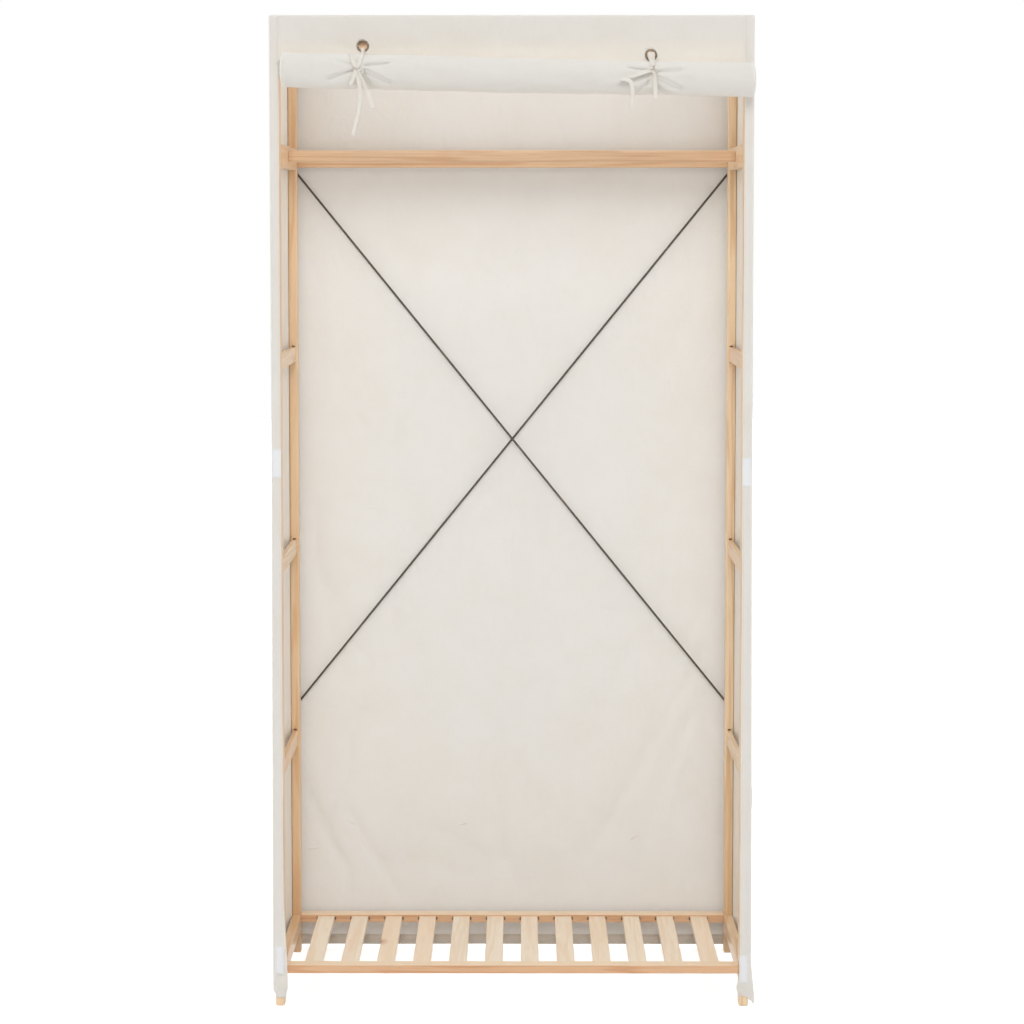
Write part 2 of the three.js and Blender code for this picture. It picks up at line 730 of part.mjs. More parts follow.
// Ties: each is a cotton tape in two strands, knotted on the front of the roll, with the
// points that each strand follows from where it leaves the cover to its free end.
const tieRoutes = {
  left: {
    eyelet: leftEyelet,
    knot: [-257.8, -264.8, 1604.4],
    strands: [
      [
        [-251, -184, 1632], [-251, -188, 1640.5], [-251, -194, 1644.6], [-250.8, -200, 1644.6],
        [-250.5, -208, 1640.5], [-250.3, -218, 1635.5], [-250.3, -229, 1633], [-250.6, -241, 1630.8],
        [-251.5, -251, 1624.8], [-253.5, -259.4, 1615.5], [-257.8, -264.8, 1604.4],
        [-255.5, -266, 1592], [-253, -265.5, 1578], [-252, -264.5, 1563], [-253.2, -264, 1548],
        [-256, -264, 1530], [-260, -264.3, 1512], [-264.3, -264.5, 1495.6],
      ],
      [
        [-272, -206, 1624], [-271.8, -211, 1630.5], [-271.5, -219, 1634], [-270.5, -230, 1633.6],
        [-269, -241, 1631], [-266.5, -251, 1625.4], [-263, -259.8, 1616], [-257.8, -264.8, 1604.4],
        [-252.5, -267, 1595], [-247.3, -266.5, 1585], [-242.5, -265.5, 1573], [-237.5, -264.5, 1561],
        [-233.5, -264.3, 1550], [-230.3, -264.5, 1541],
      ],
    ],
  },
  right: {
    eyelet: rightEyelet,
    knot: [235.7, -263, 1604.6],
    strands: [
      [
        [232.2, -184, 1617], [232.2, -188, 1625], [232.2, -194, 1630.8], [232.3, -200, 1630.6],
        [232.8, -208, 1626], [233.3, -218, 1623], [233.8, -229, 1622], [234.3, -241, 1619.5],
        [234.8, -252, 1613.2], [235.7, -263, 1604.6], [237.8, -265.5, 1594], [238.6, -265.5, 1582],
        [239, -264.5, 1570], [239.3, -264, 1556],
      ],
      [
        [237.8, -184, 1617], [237.8, -188, 1625], [237.8, -194, 1630.8], [237.7, -200, 1630.6],
        [237.4, -208, 1626], [237.1, -218, 1623], [236.8, -229, 1622], [236.6, -241, 1619.5],
        [236.4, -252, 1613.2], [235.7, -263, 1604.6], [226, -267, 1602.5], [212, -267.5, 1597.5],
        [196, -267.5, 1592.5], [187, -269, 1590], [183.5, -272.8, 1589], [187, -276.8, 1588.5],
        [195, -277, 1587.5], [200.5, -275, 1581.5], [201, -271.5, 1567], [199.8, -268.5, 1550],
        [199.1, -267, 1534.6],
      ],
    ],
  },
};

function tie(route) {
  const strands = route.strands.map((points) => {
    const curve = new THREE.CatmullRomCurve3(points.map((point) => new THREE.Vector3(...point)));
    return new THREE.ExtrudeGeometry(roundSection(tieDiameter / 2, tieSides), {
      steps: Math.round(curve.getLength() / tieStep), extrudePath: curve,
    });
  });
  const knot = new THREE.IcosahedronGeometry(knotRadius, 1).translate(...route.knot);
  return join([...strands, knot]);
}

for (const side of sides) {
  const route = tieRoutes[side.name];
  addPiece(`eyelet_${side.name}`, eyelet(), eyeletMetal,
    route.eyelet.x, (stripBack + stripFront) / 2, route.eyelet.z);
  addPiece(`tie_${side.name}`, tie(route), cotton);
}

// Hook-and-loop patches that hold the edges of the flap when it is down
for (const side of sides) {
  const drop = side.name === 'right' ? rightPatchDrop : 0;
  for (const [level, centre] of [['middle', middlePatchCentre], ['lower', lowerPatchCentre]]) {
    const patch = bar('y', patchThickness, patchWidth, patchHeight, railEase);
    addPiece(`hook_patch_${level}_${side.name}`, patch, hookTape,
      side.x, stripFront - seatGap - patchThickness / 2, centre - drop);
  }
}

// The origin goes under the middle of the object, its loose ties left out.
wardrobe.updateMatrixWorld(true);
const reach = new THREE.Box3();
for (const piece of wardrobe.children.filter((each) => !each.name.startsWith('tie_'))) {
  reach.expandByObject(piece, true);
}
wardrobe.position.set(-(reach.min.x + reach.max.x) / 2, -(reach.min.y + reach.max.y) / 2, 0);

export default wardrobe;
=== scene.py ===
from math import cos, exp, hypot, pi, radians, sin, sqrt

import bmesh
import bpy
from mathutils import Matrix, Vector, noise


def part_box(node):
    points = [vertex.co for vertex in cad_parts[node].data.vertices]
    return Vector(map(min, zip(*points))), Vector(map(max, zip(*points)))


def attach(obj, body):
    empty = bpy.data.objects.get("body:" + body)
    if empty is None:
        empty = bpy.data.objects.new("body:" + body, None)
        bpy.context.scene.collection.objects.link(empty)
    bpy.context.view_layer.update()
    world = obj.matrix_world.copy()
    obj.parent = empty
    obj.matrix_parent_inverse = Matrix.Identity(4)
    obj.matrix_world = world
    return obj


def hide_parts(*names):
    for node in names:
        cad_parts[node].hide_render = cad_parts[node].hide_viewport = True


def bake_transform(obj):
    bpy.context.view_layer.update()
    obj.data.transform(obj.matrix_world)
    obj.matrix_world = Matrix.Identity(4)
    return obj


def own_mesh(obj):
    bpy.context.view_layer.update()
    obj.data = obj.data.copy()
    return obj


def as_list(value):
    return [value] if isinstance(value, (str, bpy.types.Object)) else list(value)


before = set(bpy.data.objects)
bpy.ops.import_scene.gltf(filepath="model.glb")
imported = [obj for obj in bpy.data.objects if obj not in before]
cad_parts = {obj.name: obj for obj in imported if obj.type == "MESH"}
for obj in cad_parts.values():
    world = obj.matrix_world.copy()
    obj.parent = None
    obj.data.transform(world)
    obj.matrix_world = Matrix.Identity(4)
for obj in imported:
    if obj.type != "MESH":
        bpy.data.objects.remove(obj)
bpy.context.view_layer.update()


def low(node):
    return Vector(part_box(node)[0])


def high(node):
    return Vector(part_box(node)[1])


# Sizes of the frame and cover, from the CAD solids
OPENING_HALF = low("post_front_right").x
POST_DEPTH = high("post_front_right").y - low("post_front_right").y
CLOTH_FRONT = low("cover_valance").y
CLOTH_BACK = low("cover_back").y
COVER_TOP = high("cover_top").z
SIDE_FLOOR = low("cover_side_left").z
BACK_FLOOR = low("cover_back").z
STRIP_INNER = low("front_strip_right").x

# Cloth and sewing
CLOTH = 0.001  # thickness of one layer of canvas as it is shown
FRONT_LAYER = CLOTH_FRONT + CLOTH / 2  # middle of the cloth on the front of the posts
SIDE_LAYER = low("cover_side_right").x + CLOTH / 2
BACK_LAYER = CLOTH_BACK + CLOTH
TOP_LAYER = COVER_TOP - CLOTH / 2
CORNER = 0.005  # radius that the cloth takes round an upright edge of the frame
LIP = 0.003  # radius with which the panels turn in over the top edge of the frame
LIP_LAP = 0.0012  # how far they go on from there to their seam with the top
HEM = 0.019
HEM_INSIDE = CLOTH * 1.25  # how far the turned-up cloth of a hem lies behind the panel
HEM_SEAM = 0.003  # a hem is sewn this far below its upper edge
HEM_TURN = 0.0022  # run of the cloth in which it gets to the inside
HEM_ROUND = 0.0015  # run of the rounded foot, and how far that goes down
HEM_DIP = 0.0006
STITCH_PITCH = 0.0036
STITCH_LENGTH = 0.0025
STITCH_THICKNESS = 0.0006

# The rolled flap hangs lower at its right end
ROLL_LEFT = low("flap_roll").x
ROLL_RIGHT = high("flap_roll").x
ROLL_LEFT_Z = 1.602
ROLL_RIGHT_Z = 1.5845
ROLL_SLOPE = (ROLL_RIGHT_Z - ROLL_LEFT_Z) / (ROLL_RIGHT - ROLL_LEFT)
ROLL_BACK = high("flap_roll").y
ROLL_RADIUS = 0.0294
EYELETS = {side: (low(f"eyelet_{side}") + high(f"eyelet_{side}")) / 2 for side in ("left", "right")}
LEFT_TIE_X = EYELETS["left"].x
RIGHT_TIE_X = EYELETS["right"].x

TAPE_WIDTH = 0.0075
TAPE_THICKNESS = 0.0012
TAPE_AROUND = 0.016  # once round its section
TAPE_CORNERS = 12
TAPE_CURL = 0.0006

# Creases from packing: the size of the fields between them, how wide they are as a share of
# that, and how far the creases and the middles of the fields stand off
FIELD_ACROSS = 0.20
FIELD_DOWN = 0.34
CREASE_SHARE = 0.16
CREASE_HEIGHT = 0.0026
FIELD_HEIGHT = 0.0034


def share(value, start, end):
    """How far value is on its way from start to end, from 0 to 1."""
    return min(1, max(0, (value - start) / (end - start)))


def ease(value, start, end):
    """The same share, but with a slow start and a slow end."""
    part = share(value, start, end)
    return part * part * (3 - 2 * part)


def bump(value, width):
    """1 at zero, and falling off to either side within about the width."""
    return exp(-((value / width) ** 2))


def ripple(x, y, size, depth):
    """Small uneven waves of the cloth."""
    return depth * noise.noise(Vector((x / size, y / size, 3.7)))


def rumple(x, y, seed):
    """Creases that cloth keeps from having been folded and packed."""
    warp = Vector((ripple(x, y, 0.15, 0.35), ripple(y, x, 0.15, 0.35), 0))
    nearest, second = noise.voronoi(Vector((x / FIELD_ACROSS, y / FIELD_DOWN, seed)) + warp)[0][:2]
    edge = 1 - share(second - nearest, 0, CREASE_SHARE)
    return CREASE_HEIGHT * edge * edge + FIELD_HEIGHT * nearest


def broad_folds(count, depth, across, down):
    """Upright folds that lean a little and grow towards the foot of a panel."""
    return depth * (1 - cos(2 * pi * count * across + pi * down)) / 2 * sin(pi / 2 * down)


def creases(x, y, lines):
    """Soft ridges and furrows, each along a line from one point to another."""
    total = 0
    for x1, y1, x2, y2, width, height in lines:
        along = Vector((x2 - x1, y2 - y1))
        length = along.length
        offset = Vector((x - x1, y - y1))
        run = offset.dot(along) / length
        aside = (offset.x * along.y - offset.y * along.x) / length
        fade = width * 2
        begun = ease(run, -fade, fade)
        left = 1 - ease(run, length - fade, length + fade)
        total += height * begun * left * bump(aside, width)
    return total


def roll_height(x):
    """Height of the middle of the roll."""
    return ROLL_LEFT_Z + ROLL_SLOPE * (x - ROLL_LEFT)


# Camera, at the photograph's viewing angle
CAMERA_PLACE = (0.016, -4.938, 1.3366)
CAMERA_DIP = radians(4.262)  # how far it looks down
CAMERA_TURN = radians(0.186)
FOCAL_LENGTH = 98.67  # mm, as is the width of the sensor
SENSOR_WIDTH = 36
VIEW_SHIFT = -0.07


def set_camera():
    lens = bpy.data.cameras.new("photo_view")
    lens.lens = FOCAL_LENGTH
    lens.sensor_width = SENSOR_WIDTH
    lens.shift_y = VIEW_SHIFT
    camera = bpy.data.objects.new("photo_view", lens)
    camera.location = CAMERA_PLACE
    camera.rotation_euler = (pi / 2 - CAMERA_DIP, 0, CAMERA_TURN)
    bpy.context.scene.collection.objects.link(camera)
    bpy.context.scene.camera = camera


set_camera()


# Mesh helpers
def new_piece(name, points, faces, uvs=None):
    mesh = bpy.data.meshes.new(name)
    mesh.from_pydata([tuple(point) for point in points], [], faces)
    if uvs is not None:
        layer = mesh.uv_layers.new(name="cloth")
        for loop in mesh.loops:
            layer.data[loop.index].uv = uvs[loop.vertex_index]
    mesh.update()
    piece = bpy.data.objects.new(name, mesh)
    bpy.context.scene.collection.objects.link(piece)
    mesh.shade_smooth()
    return piece


def only(piece):
    """Makes this piece the only one that an operator acts on."""
    bpy.ops.object.select_all(action="DESELECT")
    piece.select_set(True)
    bpy.context.view_layer.objects.active = piece


def apply_modifiers(piece):
    only(piece)
    for modifier in list(piece.modifiers):
        bpy.ops.object.modifier_apply(modifier=modifier.name)


def thicken(piece, thickness=CLOTH):
    """Gives a surface the thickness of cloth, half to either side."""
    wall = piece.modifiers.new("thickness", "SOLIDIFY")
    wall.thickness = thickness
    wall.offset = 0
    wall.use_even_offset = True
    apply_modifiers(piece)
    return piece


def grid_faces(rows, columns, closed=False):
    """The faces of a grid of points, row by row; a closed one joins its last column to its first."""
    faces = []
    for row in range(rows - 1):
        for column in range(columns if closed else columns - 1):
            following = (column + 1) % columns
            faces.append((row * columns + column, row * columns + following,
                          (row + 1) * columns + following, (row + 1) * columns + column))
    return faces


def steps(start, end, count):
    """Even steps from start to end, both of them included."""
    return [start + (end - start) * index / count for index in range(count + 1)]


def spaced(start, *spans):
    """Places from start on, in spans that are each given as their end and number of steps."""
    places = [start]
    for end, count in spans:
        places += steps(places[-1], end, count)[1:-1] + [end]
    return places


def cloth_sheet(name, across, down, place):
    """A sheet of canvas on a grid of distances across and down it, in metres."""
    points = [place(u, v) for v in down for u in across]
    uvs = [(u, v) for v in down for u in across]
    return thicken(new_piece(name, points, grid_faces(len(down), len(across)), uvs))


def smooth_path(points, per_span=5):
    """A line through the given points, rounded between them."""
    line = []
    for index in range(len(points) - 1):
        before = points[max(index - 1, 0)]
        start, end = points[index], points[index + 1]
        after = points[min(index + 2, len(points) - 1)]
        for step in range(per_span):
            part = step / per_span
            line.append(0.5 * (2 * start + (end - before) * part
                               + (2 * before - 5 * start + 4 * end - after) * part ** 2
                               + (3 * start - before - 3 * end + after) * part ** 3))
    line.append(points[-1].copy())
    return line


# Ties: cotton tape in two strands each. The points repeat the CAD's, from where a strand
# leaves the cover to its free end.
TIE_LEFT_LONG = [
    (-0.251, -0.1584, 1.632), (-0.251, -0.1624, 1.6405), (-0.251, -0.1684, 1.6446),
    (-0.2508, -0.1744, 1.6446), (-0.2505, -0.1824, 1.6405), (-0.2503, -0.1924, 1.6355),
    (-0.2503, -0.2034, 1.633), (-0.2506, -0.2154, 1.6308), (-0.2515, -0.2254, 1.6248),
    (-0.2535, -0.2338, 1.6155), (-0.2578, -0.2392, 1.6044), (-0.2555, -0.2404, 1.592),
    (-0.253, -0.2399, 1.578), (-0.252, -0.2389, 1.563), (-0.2532, -0.2384, 1.548),
    (-0.256, -0.2384, 1.53), (-0.26, -0.2387, 1.512), (-0.2643, -0.2389, 1.4956),
]
TIE_LEFT_SHORT = [
    (-0.272, -0.1804, 1.624), (-0.2718, -0.1854, 1.6305), (-0.2715, -0.1934, 1.634),
    (-0.2705, -0.2044, 1.6336), (-0.269, -0.2154, 1.631), (-0.2665, -0.2254, 1.6254),
    (-0.263, -0.2342, 1.616), (-0.2578, -0.2392, 1.6044), (-0.2525, -0.2414, 1.595),
    (-0.2473, -0.2409, 1.585), (-0.2425, -0.2399, 1.573), (-0.2375, -0.2389, 1.561),
    (-0.2335, -0.2387, 1.55), (-0.2303, -0.2389, 1.541),
]
TIE_RIGHT_SHORT = [
    (0.2322, -0.1584, 1.617), (0.2322, -0.1624, 1.628), (0.2322, -0.1684, 1.6366),
    (0.2323, -0.1744, 1.6368), (0.2328, -0.1824, 1.6302), (0.2333, -0.1924, 1.6248),
    (0.2338, -0.2034, 1.6226), (0.2343, -0.2154, 1.6195), (0.2348, -0.2264, 1.6132),
    (0.2357, -0.2374, 1.6046), (0.2378, -0.2399, 1.594), (0.2386, -0.2399, 1.582),
    (0.239, -0.2389, 1.57), (0.2393, -0.2384, 1.556),
]
TIE_RIGHT_LONG = [
    (0.2378, -0.1584, 1.617), (0.2378, -0.1624, 1.628), (0.2378, -0.1684, 1.6366),
    (0.2377, -0.1744, 1.6368), (0.2374, -0.1824, 1.6302), (0.2371, -0.1924, 1.6248),
    (0.2368, -0.2034, 1.6226), (0.2366, -0.2154, 1.6195), (0.2364, -0.2264, 1.6132),
    (0.234, -0.2394, 1.6038), (0.226, -0.2412, 1.6018), (0.212, -0.2419, 1.5975),
    (0.198, -0.2419, 1.593), (0.1892, -0.2424, 1.5905), (0.1846, -0.2442, 1.5894),
    (0.1832, -0.247, 1.5888), (0.1846, -0.2498, 1.5884), (0.1888, -0.2513, 1.588),
    (0.1938, -0.2514, 1.5864), (0.1982, -0.2504, 1.582), (0.2004, -0.2486, 1.5755),
    (0.2008, -0.2462, 1.566), (0.1998, -0.2432, 1.55), (0.1991, -0.2414, 1.5346),
]


def roll_outward(point):
    """The way out of the roll at a point on it, and straight forward for what hangs below it."""
    centre = Vector((point.x, ROLL_BACK - 0.032, roll_height(point.x)))
    around = Vector((0, point.y - centre.y, point.z - centre.z))
    forward = Vector((0, -1, 0))
    hang = ease(centre.z - point.z, 0.004, 0.05)
    return (around.normalized() * (1 - hang) + forward * hang).normalized()


def tape_rings(line, twist, gathered):
    """Rings of a flat tape along a line. twist turns it, in degrees, at shares of its length;
    the tape is drawn together by the gathered share at its start, where it passes an eyelet."""
    rings = []
    across_before = None
    last = len(line) - 1
    for index, point in enumerate(line):
        along = (line[min(index + 1, last)] - line[max(index - 1, 0)]).normalized()
        across = along.cross(roll_outward(point)).normalized()
        if across_before is not None and across.dot(across_before) < 0:
            across.negate()
        across_before = across.copy()
        done = index / last
        turn = 0
        for (start, before), (end, after) in zip(twist, twist[1:]):
            if start <= done <= end:
                turn = before + (after - before) * ease(done, start, end)
        across = Matrix.Rotation(radians(turn), 3, along) @ across
        flat = across.cross(along)
        width = TAPE_WIDTH * (1 - gathered * (1 - ease(done, 0.1, 0.35)))
        curl = TAPE_CURL * sin(done * 19)
        ring = []
        for corner in range(TAPE_CORNERS):
            angle = 2 * pi * corner / TAPE_CORNERS
            side = cos(angle)
            out = sin(angle) * TAPE_THICKNESS / 2 + curl * (side * side - 0.5)
            ring.append(point + across * side * width / 2 + flat * out)
        rings.append(ring)
    return rings


def tape_mesh(name, strands):
    """One mesh of one or more tapes, each a list of rings. A tape that ends on its first ring
    is a closed loop, and the others get faces at both ends."""
    points, faces, uvs = [], [], []
    for rings in strands:
        start = len(points)
        run = 0
        for index, ring in enumerate(rings):
            if index:
                run += (sum(ring, Vector()) - sum(rings[index - 1], Vector())).length / len(ring)
            points.extend(ring)
            uvs.extend((corner / len(ring) * TAPE_AROUND, run) for corner in range(len(ring)))
        count = len(rings[0])
        for face in grid_faces(len(rings), count, closed=True):
            faces.append(tuple(corner + start for corner in face))
        if rings[-1] is not rings[0]:
            faces.append(tuple(start + corner for corner in reversed(range(count))))
            faces.append(tuple(start + (len(rings) - 1) * count + corner for corner in range(count)))
    piece = new_piece(name, points, faces, uvs)
    bm = bmesh.new()
    bm.from_mesh(piece.data)
    bmesh.ops.remove_doubles(bm, verts=bm.verts, dist=1e-7)
    bmesh.ops.recalc_face_normals(bm, faces=bm.faces)
    bm.to_mesh(piece.data)
    bm.free()
    return piece


def tie_strand(name, points, twist, gathered):
    """One strand of a tie, and the line that it follows."""
    line = smooth_path([Vector(point) for point in points])
    return tape_mesh(name, [tape_rings(line, twist, gathered)]), line


KNOT_STEPS = 48
KNOT_CORNERS = 10
KNOT_SIZE = 0.0021  # a third of the way from its middle to its farthest turn
KNOT_TAPE_HALF = 0.0027  # half the width of the tape and half its thickness in the knot
KNOT_TAPE_DEPTH = 0.0011


def tie_knot(name, centre, tilt, ends=()):
    """A small overhand knot, with any short end that comes out of it."""
    turned = Matrix.Rotation(radians(tilt), 3, "Y")
    middle = Vector(centre)
    line = []
    for angle in steps(0, 2 * pi, KNOT_STEPS):
        knot = Vector((sin(angle) + 2 * sin(2 * angle), -1.5 * sin(3 * angle),
                       cos(angle) - 2 * cos(2 * angle)))
        line.append(middle + turned @ knot * KNOT_SIZE)
    rings = []
    for index in range(KNOT_STEPS):
        along = (line[(index + 1) % KNOT_STEPS] - line[index - 1]).normalized()
        out = (line[index] - middle).normalized()
        across = along.cross(out).normalized()
        flat = across.cross(along)
        rings.append([line[index] + across * cos(angle) * KNOT_TAPE_HALF
                      + flat * sin(angle) * KNOT_TAPE_DEPTH
                      for angle in steps(0, 2 * pi, KNOT_CORNERS)[:-1]])
    rings.append(rings[0])
    strands = [rings]
    for points in ends:
        path = smooth_path([Vector(point) for point in points])
        strands.append(tape_rings(path, [(0, 0), (1, 40)], 0.2))
    return tape_mesh(name, strands)


tie_left_long, left_long_line = tie_strand(
    "tie_left_long", TIE_LEFT_LONG, [(0, 0), (0.35, 25), (0.5, -30), (0.75, 20), (1, -25)], 0.3)
tie_left_short, left_short_line = tie_strand(
    "tie_left_short", TIE_LEFT_SHORT, [(0, 0), (0.4, -20), (0.6, 35), (1, -15)], 0)
tie_right_short, right_short_line = tie_strand(
    "tie_right_short", TIE_RIGHT_SHORT, [(0, 0), (0.4, 15), (0.7, 40), (1, 15)], 0.2)
tie_right_long, right_long_line = tie_strand(
    "tie_right_long", TIE_RIGHT_LONG, [(0, 0), (0.4, 10), (0.75, -30), (1, 30)], 0.2)
knot_left = tie_knot("knot_left", (-0.2578, -0.2388, 1.6044), 20, [[
    (-0.2585, -0.2425, 1.6035), (-0.261, -0.2425, 1.5955), (-0.2645, -0.2400, 1.588),
    (-0.2685, -0.2375, 1.58),
]])
knot_right = tie_knot("knot_right", (0.2357, -0.2388, 1.6046), -35)
TIE_PIECES = (tie_left_long, tie_left_short, tie_right_short, tie_right_long, knot_left, knot_right)

CORDS = [
    (tie_left_long, left_long_line, 0.215, "tie_left", [knot_left]),
    (tie_left_short, left_short_line, 0.148, None, []),
    (tie_right_short, right_short_line, 0.143, None, []),
    (tie_right_long, right_long_line, 0.221, "tie_right", [knot_right]),
]
for strand, line, length, node, knots in CORDS:
    tuple(line[0])
    [tuple(point) for point in line]
    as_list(knots)
    if node:
        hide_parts(node)
    for piece in [strand, *knots]:
        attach(piece, "root")


# Cover. Each surface function gives a point in the middle of the cloth from its distances
# across and down the panel.
LIP_RUN = LIP_LAP + LIP * pi / 2
LIP_ROWS = [0, LIP_LAP] + [LIP_LAP + LIP * pi / 2 * step / 4 for step in range(1, 5)]


def over_edge(v):
    """How far in from its face a panel lies and how high, at a distance v from its upper edge."""
    if v < LIP_LAP:
        return LIP + LIP_LAP - v, TOP_LAYER
    angle = min((v - LIP_LAP) / LIP, pi / 2)
    return LIP * (1 - sin(angle)), TOP_LAYER - LIP * (1 - cos(angle)) - max(0, v - LIP_RUN)


def fall(z):
    """The distance down a panel from its upper edge to a height on its face."""
    return LIP_RUN + TOP_LAYER - LIP - z


def hem_rows(foot):
    """Rows of a hem, from the foot of a panel up again on the inside."""
    return [foot + step for step in (0.001, HEM_TURN, 0.006, 0.011, HEM)]


def turned_up(place, v, foot, inward):
    """A point of the panel or of the hem that is turned up behind it."""
    if v <= foot:
        return place(v)
    past = v - foot
    point = place(foot - max(0, past - HEM_ROUND))
    point += inward * HEM_INSIDE * ease(past, 0, HEM_TURN)
    if past < HEM_ROUND:
        point.z -= HEM_DIP * sin(pi * past / HEM_ROUND)
    return point


BACK_CREASES = [
    (0.354, 0.558, 0.161, 0.201, 0.011, 0.0034),
    (0.330, 0.440, 0.235, 0.180, 0.009, 0.0028),
    (0.235, 0.590, 0.088, 0.290, 0.012, 0.0022),
    (0.372, 0.700, 0.300, 0.520, 0.010, 0.0020),
    (-0.306, 0.255, -0.205, 0.085, 0.010, 0.0036),
    (-0.383, 0.300, -0.320, 0.160, 0.009, 0.0028),
    (-0.152, 0.230, -0.050, 0.170, 0.010, 0.0020),
    (-0.068, 0.168, 0.115, 0.160, 0.008, 0.0014),
    (-0.370, 0.800, -0.330, 0.560, 0.012, 0.0018),
    (-0.205, 1.380, -0.212, 0.700, 0.016, 0.0012),
    (0.060, 1.430, 0.072, 0.560, 0.018, 0.0014),
]
BACK_HALF = SIDE_LAYER + CLOTH
BACK_ARC = CORNER * pi / 2
BACK_WRAP = 0.006  # how far the back panel laps round the side panels
BACK_FOOT = fall(BACK_FLOOR + CLOTH * 1.4)


def back_surface(u, v):
    """The back panel: behind the frame, with its side edges lapped round the corners."""
    flat_half = BACK_HALF - CORNER
    inward, z = over_edge(v)
    x = max(-flat_half, min(flat_half, u))
    across = (x / flat_half + 1) / 2
    down = v / BACK_FOOT
    still = sin(pi * across)
    calm = 1 - 0.75 * ease(v, BACK_FOOT - 0.16, BACK_FOOT - HEM)
    out = broad_folds(2.5, 0.0062, across, down) * still
    out += creases(x, z, BACK_CREASES) * ease(v, 0, 0.05)
    out += (ripple(x, z, 0.09, 0.0012) + ripple(x, z * 0.6, 0.03, 0.0004)) * still
    out += rumple(x, z, 2.5) * share(v, 0, 0.08) * (0.45 + 0.55 * down) * share(still, 0, 0.15)
    over = abs(u) - flat_half
    if over <= 0:
        return Vector((x, BACK_LAYER + max(0, out) * calm - inward, z))
    side = 1 if u > 0 else -1
    angle = min(over / CORNER, pi / 2)
    radius = CORNER - inward
    return Vector((side * (flat_half + radius * sin(angle)),
                   BACK_LAYER - CORNER + radius * cos(angle) - max(0, over - BACK_ARC), z))


def back_panel():
    flat_half = BACK_HALF - CORNER
    wrapped = flat_half + BACK_ARC
    across = spaced(-wrapped - BACK_WRAP, (-wrapped, 1), (-flat_half, 5), (flat_half, 124),
                    (wrapped, 5), (wrapped + BACK_WRAP, 1))
    down = LIP_ROWS[:-1] + spaced(LIP_RUN, (BACK_FOOT - HEM, 150), (BACK_FOOT, 5))

    def place(u, v):
        inward = Vector((0, -1, 0)) if abs(u) < flat_half else Vector((-1 if u > 0 else 1, 0, 0))
        return turned_up(lambda at: back_surface(u, at), v, BACK_FOOT, inward)

    return cloth_sheet("back_panel", across, down + hem_rows(BACK_FOOT), place)


# A side panel goes from the edge of the opening round the front post, along the side of the
# frame and in under the edge of the back panel.
STRIP_RUN = SIDE_LAYER - CORNER - STRIP_INNER
SIDE_START = STRIP_RUN + CORNER * pi / 2
SIDE_RUN = (CLOTH_BACK - 0.002) - (FRONT_LAYER + CORNER)
SIDE_END = SIDE_START + SIDE_RUN
SIDE_FOOT = fall(SIDE_FLOOR)
SIDE_CREASES = {
    "left": [(0.06, 1.30, 0.16, 0.90, 0.012, 0.0022), (0.10, 0.62, 0.30, 0.30, 0.014, 0.0026),
             (0.30, 1.50, 0.22, 1.20, 0.012, 0.0018), (0.05, 0.30, 0.18, 0.10, 0.010, 0.0022),
             (0.34, 0.86, 0.24, 0.55, 0.012, 0.0020)],
    "right": [(0.08, 1.42, 0.14, 1.00, 0.012, 0.0022), (0.12, 0.70, 0.26, 0.34, 0.014, 0.0026),
              (0.32, 1.30, 0.24, 0.96, 0.012, 0.0018), (0.34, 0.40, 0.20, 0.12, 0.010, 0.0024),
              (0.06, 0.52, 0.12, 0.22, 0.010, 0.0020)],
}


def hem_lift(side, u):
    """How far the foot of a side panel is above its usual height: it isn't quite level."""
    if side == "left":
        return 0.002 * bump(u - STRIP_RUN, 0.02)
    return 0.008 * bump(u - 0.004, 0.009) - 0.010 * bump(u - SIDE_START + 0.001, 0.012)


def corner_shift(side, z):
    """How far the front corner of the cloth stands out from the post. The left one is tucked
    in at its foot; the right one flares there."""
    lean = 1 - ease(z, 0.05, 1.1)
    if side == "left":
        return 0.0030 * lean - 0.0075 * (1 - share(z, SIDE_FLOOR, SIDE_FLOOR + 0.014))
    return 0.0042 * lean + 0.0052 * (1 - ease(z, 0.012, 0.085))


def edge_shift(side, z):
    """How far the free edge of a front strip is drawn into the opening near its foot."""
    if side == "left":
        return 0.0065 * (1 - ease(z, 0.035, 0.22)) * (0.6 + 0.4 * ease(z, 0.018, 0.034))
    return 0.0055 * bump(z - 0.034, 0.013)


